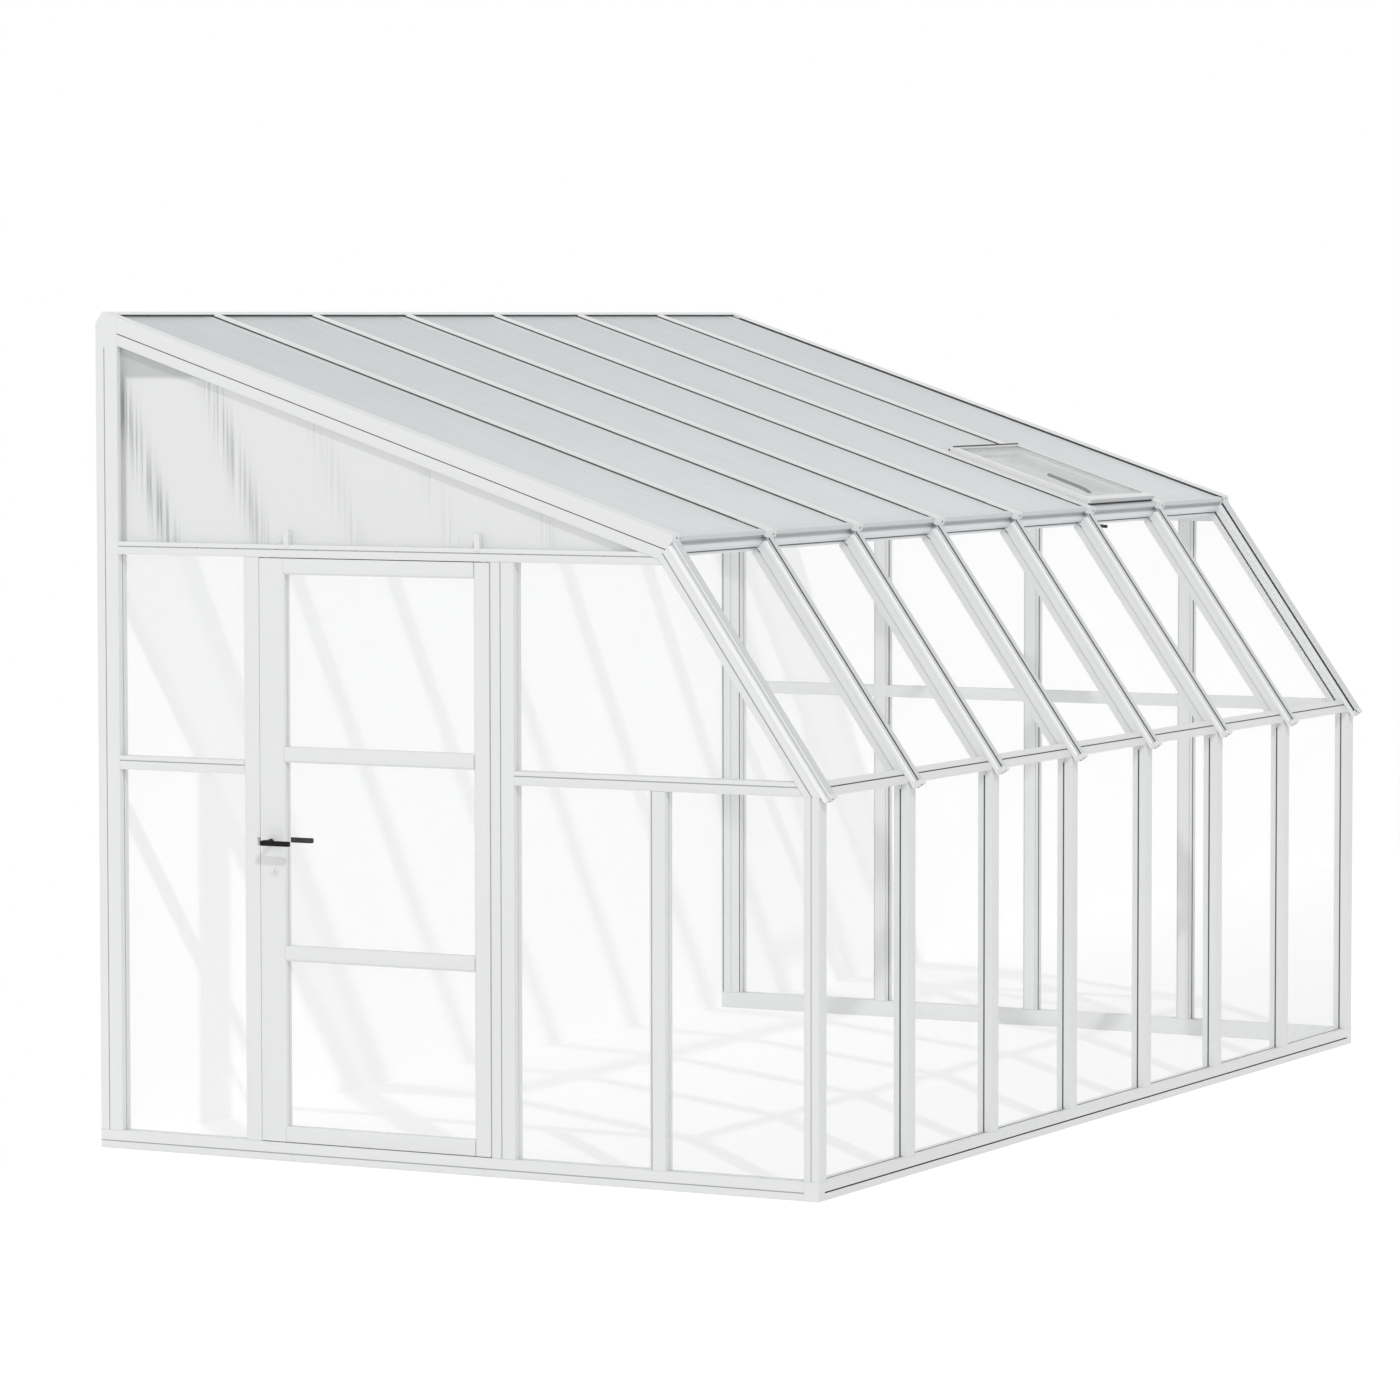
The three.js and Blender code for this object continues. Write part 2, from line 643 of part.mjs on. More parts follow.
// Glazing
const doorGlass = doorPanes(0);
const farGlass = farPanes(0);
put('front_panes', frontSheet(0), 'clear');
put('slope_panes', slopeSheet(0), 'clear');
put('roof_panels', place(flatSheet(roofOutlines, twinWallThickness, 0)
  .subtract(flat(ventHole, -twinWallThickness, twinWallThickness)), roofPlane), 'frosted');
put('door_gable_rear_pane', doorGlass.rear, 'clear');
put('door_gable_front_pane', doorGlass.front, 'clear');
put('door_gable_upper_panel', doorGlass.upper, 'frosted');
put('far_gable_pane', farGlass.lower, 'clear');
put('far_gable_upper_panel', farGlass.upper, 'frosted');

// Door leaf
const glassFront = leafFront + hingeStileWidth;
const glassBack = leafBack - lockStileWidth;
const windows = [
  [leafBottom + bottomRailHeight, lowerMidRailHeight],
  [lowerMidRailHeight + leafMidRailHeight, upperMidRailHeight],
  [upperMidRailHeight + leafMidRailHeight, leafTop - leafTopRailHeight],
];
const leafCentre = leafOuter + leafThickness / 2;
const leafPane = (extra) => {
  const outlines = windows.map(([z0, z1]) => grown(rect(glassFront, glassBack, z0, z1), leafBite));
  outlines.push(rect(glassFront - leafBite, glassFront - leafBite + stripDepth / 2,
    windows[0][0], windows[2][1]));
  return sheet(gablePanes(leafCentre), outlines, clearThickness, extra);
};
const spindleY = leafBack - spindleBackset;
const cylinderY = leafBack - cylinderBackset;
let leaf = block(leafOuter, leafInner, leafFront, leafBack, leafBottom, leafTop);
windows.forEach(([z0, z1]) => {
  leaf = leaf.subtract(block(leafOuter - overrunLength, leafInner + overrunLength, glassFront, glassBack,
    z0, z1));
});
const latchBack = leafBack + latchReach;
leaf = leaf.subtract(leafPane(paneClearance))
  .subtract(alongX(disc(spindleY, spindleHeight, spindleHoleRadius), leafOuter - overrunLength,
    leafInner + overrunLength))
  .subtract(block(latchX - latchWidth / 2 - latchFit, latchX + latchWidth / 2 + latchFit,
    latchBack - latchLength - latchStroke - latchFit, leafBack + overrunLength,
    latchZ - latchHeight / 2 - latchFit, latchZ + latchHeight / 2 + latchFit))
  .add(pin(pinRadius, leafTop - pinReach, headHeight + pinReach))
  .add(pin(pinRadius, sillHeight - pinReach, leafBottom + pinReach))
  .add(alongX(disc(cylinderY, spindleHeight - cylinderDrop, cylinderRadius),
    leafOuter - cylinderReach, leafInner + cylinderReach));
put('door_leaf', leaf, 'frame');
put('door_pane', leafPane(0), 'clear');

// Handles on one spindle
const halfSpindle = spindleSize / 2;
const leverOutline = rect(spindleY - leverLength + leverOverhang, spindleY + leverOverhang,
  spindleHeight - leverHeight / 2, spindleHeight + leverHeight / 2);
const neckOuter = leafOuter - neckGap;
const neckInner = leafInner + neckGap;
put('outer_handle', alongX(disc(spindleY, spindleHeight, neckRadius), neckOuter - neckLength,
  neckOuter)
  .add(alongX(leverOutline, neckOuter - neckLength - leverThickness, neckOuter - neckLength))
  .add(alongX(rect(spindleY - halfSpindle, spindleY + halfSpindle,
    spindleHeight - halfSpindle, spindleHeight + halfSpindle), neckOuter - neckLength / 2,
  neckInner + spindleEngage)), 'black');
const socket = halfSpindle + spindleFit;
put('inner_handle', alongX(disc(spindleY, spindleHeight, neckRadius), neckInner,
  neckInner + neckLength)
  .add(alongX(leverOutline, neckInner + neckLength, neckInner + neckLength + leverThickness))
  .subtract(alongX(rect(spindleY - socket, spindleY + socket, spindleHeight - socket,
    spindleHeight + socket), neckInner - overrunLength, neckInner + spindleEngage + spindleFit)),
'black');
put('latch_bolt', block(latchX - latchWidth / 2, latchX + latchWidth / 2,
  latchBack - latchLength, latchBack, latchZ - latchHeight / 2, latchZ + latchHeight / 2),
'latch');

// Roof vent
const curbFootRun = ventHoleFoot - curbFootWidth;
const curbHeadRun = holeHead + curbHeadWidth;
const curbLeft = ventLeft + curbSideGap;
const curbRight = ventRight - curbSideGap;
const sashHeadRun = curbHeadRun - hingeRodRadius * 2;
const hingeRun = sashHeadRun + hingeRodRadius + hingeRodGap;
const sashFootRun = curbFootRun - sashFootOverlap;
const hingePoint = roofPoint(hingeRun, hingeRodHeight);
const rodWeb = [
  roofPoint(hingeRun - hingeRodRadius / 2, curbTop - overrunLength),
  roofPoint(hingeRun + hingeRodRadius / 2, curbTop - overrunLength),
  roofPoint(hingeRun + hingeRodRadius / 2, hingeRodHeight),
  roofPoint(hingeRun - hingeRodRadius / 2, hingeRodHeight),
];
// Ears and pin of the stay, hung from the foot of the curb through the opening
const stayX = (ventLeft + ventRight) / 2;
const stayRun = purlinBackReach + stayPivotReach;
const stayCentre = roofPoint(stayRun, -stayPivotDrop);
const stayHalf = stayThickness / 2;
const lugInner = stayHalf + stayLugGap;
const lugOuter = lugInner + stayLugThickness;
const lugRun = stayRun + stayHubRadius;
const lugFoot = -stayPivotDrop - stayLugHeight / 2;
const lugOutline = [
  [ventHoleFoot - overrunLength, roofHalf + gap], [ventHoleFoot - overrunLength, curbTop],
  [lugRun, curbTop], [lugRun, lugFoot],
  [ventHoleFoot + stayLugGap, lugFoot], [ventHoleFoot + stayLugGap, roofHalf + gap],
].map(([run, rise]) => roofPoint(run, rise));
const sashLeft = ventLeft + sashSideGap;
const sashRight = ventRight - sashSideGap;
put('vent_curb', place(flat(rect(curbLeft, curbRight, curbFootRun, curbHeadRun), roofHalf + gap,
  curbTop).subtract(flat(ventHole, 0, curbTop + overrunLength)), roofPlane)
  .add(alongX(disc(hingePoint[0], hingePoint[1], hingeRodRadius), sashLeft, sashRight))
  .add(alongX(rodWeb, sashLeft, sashRight))
  .add(alongX(lugOutline, stayX - lugOuter, stayX - lugInner))
  .add(alongX(lugOutline, stayX + lugInner, stayX + lugOuter))
  .add(alongX(disc(stayCentre[0], stayCentre[1], stayPinRadius),
    stayX - lugInner - stayLugThickness / 2, stayX + lugInner + stayLugThickness / 2)), 'frame');
const sashFoot = curbTop + sashGap;
const sashTop = sashFoot + sashThickness;
const glassOutline = rect(sashLeft + sashRailWidth, sashRight - sashRailWidth, sashFootRun + sashRailWidth,
  sashHeadRun - sashRailWidth);
const ventGlass = (extra) => {
  const centre = (sashFoot + sashTop) / 2;
  const half = ventPaneThickness / 2 + extra;
  return flat(grown(glassOutline, biteDepth + extra), centre - half, centre + half);
};
put('vent_sash', place(flat(rect(sashLeft, sashRight, sashFootRun, sashHeadRun), sashFoot,
  sashTop).subtract(flat(glassOutline, 0, sashTop + overrunLength))
  .subtract(ventGlass(paneClearance)), roofPlane), 'frame');
put('vent_pane', place(ventGlass(0), roofPlane), 'frosted');

// Vent stay
const armOutline = () => {
  const upper = [];
  const lower = [];
  for (let i = 0; i <= bowSteps; i += 1) {
    const t = i / bowSteps;
    const run = stayRun + t * stayArmLength;
    const rise = -stayPivotDrop + t * stayArmRise + stayArmBow * Math.sin(Math.PI * t);
    upper.push(roofPoint(run, rise + stayArmWidth / 2));
    lower.push(roofPoint(run, rise - stayArmWidth / 2));
  }
  return upper.concat(lower.reverse());
};
const gripTop = -stayPivotDrop - stayGripDrop;
const gripOutline = rect(stayRun - stayGripReach, stayRun + stayArmWidth / 2,
  gripTop - stayGripWidth / 2, gripTop + stayGripWidth / 2).map(([r, h]) => roofPoint(r, h));
const shankOutline = rect(stayRun - stayArmWidth / 2, stayRun + stayArmWidth / 2, gripTop,
  -stayPivotDrop).map(([r, h]) => roofPoint(r, h));
const stayFrom = stayX - stayHalf;
const stayTo = stayX + stayHalf;
put('vent_stay', alongX(disc(stayCentre[0], stayCentre[1], stayHubRadius), stayFrom, stayTo)
  .add(alongX(armOutline(), stayFrom, stayTo))
  .add(alongX(shankOutline, stayFrom, stayTo))
  .add(alongX(gripOutline, stayFrom, stayTo))
  .subtract(alongX(disc(stayCentre[0], stayCentre[1], stayPinRadius + stayPinFit),
    stayFrom - overrunLength, stayTo + overrunLength)), 'black');

// The scene graph
const greenhouse = new THREE.Group();
greenhouse.name = 'lean_to_greenhouse';
for (const [name, { solid, look }] of pieces) {
  const mesh = solid.getMesh();
  const geometry = new THREE.BufferGeometry();
  geometry.setAttribute('position', new THREE.BufferAttribute(
    new Float32Array(mesh.vertProperties), 3));
  geometry.setIndex(new THREE.BufferAttribute(new Uint32Array(mesh.triVerts), 1));
  geometry.computeVertexNormals();
  const part = new THREE.Mesh(geometry, new THREE.MeshStandardMaterial(finish[look]));
  part.name = name;
  greenhouse.add(part);
}
// The origin is the middle of the whole, on the floor
const middle = new THREE.Box3().setFromObject(greenhouse).getCenter(new THREE.Vector3());
greenhouse.children.forEach((part) => part.geometry.translate(-middle.x, -middle.y, 0));

export default greenhouse;
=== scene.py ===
"""Lean-to greenhouse: the finish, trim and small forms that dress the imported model.

Sizes are millimetres in the maker's own layout, with X along the house wall, Y towards it
and Z up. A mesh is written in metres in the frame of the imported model.
"""

import logging
import math
from dataclasses import dataclass, field
from enum import Enum, IntEnum

import bpy
import numpy as np
from mathutils import Matrix, Vector


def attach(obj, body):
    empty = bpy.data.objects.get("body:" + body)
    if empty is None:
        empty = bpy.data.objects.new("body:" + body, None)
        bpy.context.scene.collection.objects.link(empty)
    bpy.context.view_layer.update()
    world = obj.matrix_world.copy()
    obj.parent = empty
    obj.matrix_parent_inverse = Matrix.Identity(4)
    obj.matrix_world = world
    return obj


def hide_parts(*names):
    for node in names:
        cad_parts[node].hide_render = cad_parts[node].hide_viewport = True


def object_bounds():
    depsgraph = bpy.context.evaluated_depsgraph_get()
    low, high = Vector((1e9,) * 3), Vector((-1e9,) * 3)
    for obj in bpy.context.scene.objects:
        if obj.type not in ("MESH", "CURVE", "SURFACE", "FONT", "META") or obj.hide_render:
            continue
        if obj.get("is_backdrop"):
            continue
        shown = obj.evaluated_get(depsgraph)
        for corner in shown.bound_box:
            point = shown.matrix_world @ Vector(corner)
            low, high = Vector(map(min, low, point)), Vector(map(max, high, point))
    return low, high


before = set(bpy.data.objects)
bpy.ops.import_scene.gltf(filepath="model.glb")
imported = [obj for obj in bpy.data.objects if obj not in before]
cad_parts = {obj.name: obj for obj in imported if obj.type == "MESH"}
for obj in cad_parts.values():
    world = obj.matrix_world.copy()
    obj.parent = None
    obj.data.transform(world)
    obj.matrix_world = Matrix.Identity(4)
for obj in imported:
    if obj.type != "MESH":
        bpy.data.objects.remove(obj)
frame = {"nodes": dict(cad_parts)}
CAD_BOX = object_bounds()

log = logging.getLogger("greenhouse")

Pair = tuple[float, float]
Triple = tuple[float, float, float]
Point = Pair | np.ndarray
Material = bpy.types.Material
Tree = bpy.types.NodeTree
Node = bpy.types.Node
Socket = bpy.types.NodeSocket

METRE = 0.001
FRAME_SHIFT = np.array([27.7, 19.0, 0.0])


class Paint(IntEnum):
    """What a face of a frame member is made of, or the painted shade that it carries."""

    PROFILE = 0
    # Black rubber, and also black painted shade in gaps, grooves and corners.
    GASKET_AND_SHADE = 1
    # Grey painted shade in grooves, at joints and on shaded faces.
    PAINTED_SHADE = 2
    SCREW = 3
    # Grey painted shade on the tops of the bars' raised heads.
    TOP_SHADE = 4


class Side(Enum):
    """The two gables of the house."""

    DOOR = -1
    FAR = 1

    def node(self, part: str) -> str:
        """Node name of a part that both gables have."""
        return f"{'door' if self is Side.DOOR else 'far'}_gable_{part}"

    def place(self, section: "Section") -> "Section":
        """A section drawn at the door's gable, moved to its own."""
        return section if self is Side.DOOR else section.mirrored()


# Layout of the house
@dataclass(frozen=True)
class Layout:
    """The main lines of the house, in the gable plane and along the wall."""

    half_length: float = 2200.0
    bay_count: int = 7
    end_middle: float = 30.0
    front: float = -1300.0
    wall: float = 1300.0
    front_pane: float = -1275.0
    eave: float = 1235.0
    knee_y: float = -716.0
    knee_z: float = 2033.0
    ridge: float = 2698.5
    bar_width: float = 54.0
    end_bar: float = 57.0
    depth: float = 50.0
    sill: float = 60.0
    post_top: float = 1232.0
    rail_top: float = 1276.0
    head: float = 1925.0
    head_top: float = 1966.0
    post_inner: float = 1218.0
    corner_inner: float = -1249.0
    purlin_face: float = -786.0
    eave_reach: float = 35.0
    cap_height: float = 50.0
    slope_half: float = 24.0
    rake: float = 74.0
    crown: float = 13.0
    plate: float = 28.0
    nose: float = 14.0
    sheet_start: float = -84.5
    middle: float = 25.0
    pane_channel: Pair = (4.8, 12.6)
    sheet_channel: Pair = (10.8, 12.6)
    gap: float = 0.3

    @property
    def slope_up(self) -> np.ndarray:
        """Unit direction up the slope, as (y, z)."""
        v = np.array([self.knee_y - self.front_pane, self.knee_z - self.eave])
        return v / np.hypot(*v)

    @property
    def roof_up(self) -> np.ndarray:
        """Unit direction up the roof, as (y, z)."""
        v = np.array([self.wall - self.knee_y, self.ridge - self.knee_z])
        return v / np.hypot(*v)

    @property
    def slope_top(self) -> float:
        """Where the slope's panes end, measured up the slope."""
        return float(np.hypot(self.knee_y - self.front_pane, self.knee_z - self.eave)) - 100.0

    @property
    def plate_run(self) -> float:
        """Where the roof meets the wall plate, measured up the roof."""
        return (self.wall - self.depth - self.knee_y) / self.roof_up[0]

    @property
    def pitch(self) -> float:
        """Width of a bay, from the middle of one bar to the next."""
        return 2 * (self.half_length - self.end_middle) / self.bay_count

    @property
    def bars(self) -> list[float]:
        """Middle of each inner bar along X."""
        return [self.bar(i) for i in range(1, self.bay_count)]

    def bar(self, i: float) -> float:
        """Middle of bar i along X, counted from the end bar at the door's gable."""
        return -self.half_length + self.end_middle + i * self.pitch

    def slope(self, run: float, rise: float) -> np.ndarray:
        """Point (y, z) at a distance up the slope and out of its pane plane."""
        start = np.array([self.front_pane, self.eave])
        return start + run * self.slope_up + rise * turned(self.slope_up)

    def roof(self, run: float, rise: float) -> np.ndarray:
        """Point (y, z) at a distance up the roof and out of its middle plane."""
        start = np.array([self.knee_y, self.knee_z])
        return start + run * self.roof_up + rise * turned(self.roof_up)

    def bays(self, end_edge: float) -> list[Pair]:
        """Clear spans between the bars, from one end edge to the other.

        Args:
            end_edge: Where the last span ends.

        Returns:
            Low and high x of each span.
        """
        half = self.bar_width / 2
        lows = [-end_edge] + [x + half for x in self.bars]
        highs = [x - half for x in self.bars] + [end_edge]
        return list(zip(lows, highs))


LAYOUT = Layout()


@dataclass(frozen=True)
class Plane:
    """A place for a section: where it starts, its two axes and the way it is carried."""

    origin: Triple
    a: Triple
    b: Triple
    along: Triple

    def at(self, section: np.ndarray, run: np.ndarray) -> np.ndarray:
        """Points origin + a*p + b*q + along*run for section points (p, q).

        Args:
            section: Array (..., 2) of section coordinates.
            run: Array of distances along, of the same leading shape.

        Returns:
            Array (..., 3) of points in millimetres.
        """
        axes = np.array([self.a, self.b])
        return np.array(self.origin) + section @ axes + run[..., None] * np.array(self.along)

    @property
    def handed(self) -> float:
        """1 where a x b points along, and -1 where it points back."""
        return float(np.sign(np.dot(np.cross(self.a, self.b), self.along)))


def yz(point: np.ndarray) -> Triple:
    """A gable plane direction or point as a space tuple."""
    return (0.0, float(point[0]), float(point[1]))


def turned(direction: np.ndarray) -> np.ndarray:
    """A gable plane direction turned a quarter, so that it points outwards."""
    return np.array([-direction[1], direction[0]])


def gable_face(x: float, side: int) -> Plane:
    """An upright face at x, for a section in (y, z) that is carried out to one side."""
    return Plane((x, 0, 0), (0, 1, 0), (0, 0, 1), (side, 0, 0))


UPRIGHT = Plane((0, 0, 0), (1, 0, 0), (0, 1, 0), (0, 0, 1))
LENGTHWAYS = Plane((0, 0, 0), (0, 1, 0), (0, 0, 1), (1, 0, 0))
CROSSWAYS = Plane((0, 0, 0), (1, 0, 0), (0, 0, 1), (0, 1, 0))
SLOPE = Plane(yz(np.array([LAYOUT.front_pane, LAYOUT.eave])), (1, 0, 0),
              yz(turned(LAYOUT.slope_up)), yz(LAYOUT.slope_up))
SLOPE_FACE = Plane(SLOPE.origin, (1, 0, 0), SLOPE.along, SLOPE.b)
ROOF = Plane(yz(np.array([LAYOUT.knee_y, LAYOUT.knee_z])), (1, 0, 0),
             yz(turned(LAYOUT.roof_up)), yz(LAYOUT.roof_up))


# Sections
@dataclass(frozen=True)
class Recess:
    """A groove or glazing channel sunk into one edge of a section.

    The lips are strips of gasket that stand proud on either side of its mouth.
    """

    edge: int
    at: float
    width: float
    depth: float
    before: float = 0.0
    after: float = 0.0
    paint: Paint = Paint.PROFILE
    rise: float = 0.8

    def outline(self, edge_paint: Paint) -> tuple[np.ndarray, list[Paint]]:
        """Points (distance along the edge, depth into it) and the paint that follows each.

        Args:
            edge_paint: Paint of the edge itself.

        Returns:
            The points and the paints.
        """
        near, far = self.at - self.width / 2, self.at + self.width / 2
        points: list[Pair] = []
        paints: list[Paint] = []
        if self.before > 0:
            points += [(near - self.before, 0), (near - self.before + 0.5, -self.rise),
                       (near, -self.rise)]
            paints += [Paint.GASKET_AND_SHADE, Paint.GASKET_AND_SHADE, self.paint]
        else:
            points.append((near, 0))
            paints.append(self.paint)
        points += [(near, self.depth), (far, self.depth)]
        paints += [self.paint, self.paint]
        if self.after > 0:
            points += [(far, -self.rise), (far + self.after - 0.5, -self.rise),
                       (far + self.after, 0)]
            paints += [Paint.GASKET_AND_SHADE, Paint.GASKET_AND_SHADE, edge_paint]
        else:
            points.append((far, 0))
            paints.append(edge_paint)
        return np.array(points, float), paints


def bead(edge: int, at: float) -> Recess:
    """The fine line where a pane's bead lies, a shallow groove painted grey as its shade."""
    return Recess(edge, at, 2.4, 0.8, paint=Paint.PAINTED_SHADE)


def face_groove(edge: int, at: float) -> Recess:
    """The groove along the face of a gable member, painted grey as its shade."""
    return Recess(edge, at, 3.6, 2.6, paint=Paint.PAINTED_SHADE)


@dataclass(frozen=True)
class Section:
    """A closed outline and the paint of the edge that starts at each point."""

    points: np.ndarray
    paint: np.ndarray

    def moved(self, a: float, b: float = 0.0) -> "Section":
        """The same section shifted in its plane."""
        return Section(self.points + np.array([a, b]), self.paint)

    def painted(self, paint: Paint) -> "Section":
        """The same outline in one paint."""
        return Section(self.points, np.full(len(self.points), int(paint)))

    def mirrored(self, about: float = 0.0) -> "Section":
        """The section mirrored across a line a = about, still turning the same way."""
        flipped = self.points * np.array([-1.0, 1.0]) + np.array([2 * about, 0.0])
        return Section(flipped[::-1], np.roll(self.paint[::-1], -1))


def outline(corners: list[Point], recesses: tuple[Recess, ...] = (),
            radius: float | list[float] = 1.5, edges: dict[int, Paint] | None = None,
            steps: int = 2) -> Section:
    """A rounded polygon with grooves and channels.

    Each corner is a quadratic curve between the points where its circle would touch the two
    edges, worked out for all corners at once. Recesses are then set into the straight edges.

    Args:
        corners: Corner points, anticlockwise.
        recesses: Grooves and channels, by edge number.
        radius: Corner radius, one for all or one each.
        edges: Paint of an edge, where it isn't the profile's own.
        steps: Straight pieces in each rounded corner.

    Returns:
        The section.
    """
    points = np.array(corners, float)
    edges = edges or {}
    forward = np.roll(points, -1, axis=0) - points
    length = np.linalg.norm(forward, axis=1)
    leaving = forward / length[:, None]
    coming = np.roll(leaving, 1, axis=0)
    turn = np.arccos(np.clip((coming * leaving).sum(1), -1, 1))
    cut = np.minimum(np.broadcast_to(np.asarray(radius, float), turn.shape) * np.tan(turn / 2),
                     0.45 * np.minimum(length, np.roll(length, 1)))
    start = points - coming * cut[:, None]
    end = points + leaving * cut[:, None]
    s = np.linspace(0, 1, steps + 1)[None, :, None]
    arcs = (1 - s) ** 2 * start[:, None] + 2 * s * (1 - s) * points[:, None] + s ** 2 * end[:, None]
    parts: list[np.ndarray] = []
    paints: list[Paint] = []
    for i in range(len(points)):
        paint = edges.get(i, Paint.PROFILE)
        corner = arcs[i] if cut[i] > 0 else points[i:i + 1]
        parts.append(corner)
        paints += [paint] * len(corner)
        inward = np.array([-leaving[i][1], leaving[i][0]])
        for recess in sorted((r for r in recesses if r.edge == i), key=lambda r: r.at):
            cuts, tones = recess.outline(paint)
            parts.append(points[i] + cuts[:, :1] * leaving[i] + cuts[:, 1:] * inward)
            paints += tones
    return Section(np.concatenate(parts), np.array(paints, int))


def box_outline(a0: float, a1: float, b0: float, b1: float, recesses: tuple[Recess, ...] = (),
                radius: float | list[float] = 1.5, edges: dict[int, Paint] | None = None) -> Section:
    """A rounded rectangle. Edges run 0 along b0, 1 up a1, 2 back along b1, 3 down a0."""
    return outline([(a0, b0), (a1, b0), (a1, b1), (a0, b1)], recesses, radius, edges)


def roof_outline(marks: list[Pair], radius: float | list[float] = 0.6,
                 edges: dict[int, Paint] | None = None, steps: int = 2) -> Section:
    """A rounded polygon in (y, z), from (run, rise) marks on the roof."""
    return outline([LAYOUT.roof(run, rise) for run, rise in marks], (), radius, edges, steps)


@dataclass(frozen=True)
class EndCut:
    """The end of a member: how far it runs, as a broken line over the section's b."""

    b: tuple[float, ...]
    run: tuple[float, ...]

    @staticmethod
    def square(run: float) -> "EndCut":
        """A cut straight across."""
        return EndCut((0.0,), (run,))

    @staticmethod
    def through(b0: float, run0: float, b1: float, run1: float) -> "EndCut":
        """A slanting cut through two points, carried on past both.

        Args:
            b0: Section b of the first point.
            run0: Its run.
            b1: Section b of the second.
            run1: Its run.

        Returns:
            The cut.
        """
        slant = (run1 - run0) / (b1 - b0)
        low, high = min(b0, b1) - 500, max(b0, b1) + 500
        return EndCut((low, high), (run0 + slant * (low - b0), run0 + slant * (high - b0)))

    def at(self, b: np.ndarray) -> np.ndarray:
        """The run of each section point."""
        return np.interp(b, self.b, self.run)

    def loops(self, b: np.ndarray) -> list[list[int]]:
        """Numbers of the section points round each flat part. A fold splits it in two.

        Args:
            b: Section b of each point.

        Returns:
            One list for each flat part.
        """
        count = len(b)
        if len(self.b) < 3:
            return [list(range(count))]
        first, last = np.flatnonzero(np.abs(b - self.b[1]) < 1e-6)
        return [list(range(first, last + 1)), list(range(last, count)) + list(range(first + 1))]


# Meshes
def add_object(name: str, data: bpy.types.ID) -> bpy.types.Object:
    """Makes an object at the origin and puts it in the scene.

    Args:
        name: Name of the object.
        data: Its mesh, camera or light.

    Returns:
        The object.
    """
    made = bpy.data.objects.new(name, data)
    bpy.context.scene.collection.objects.link(made)
    return made


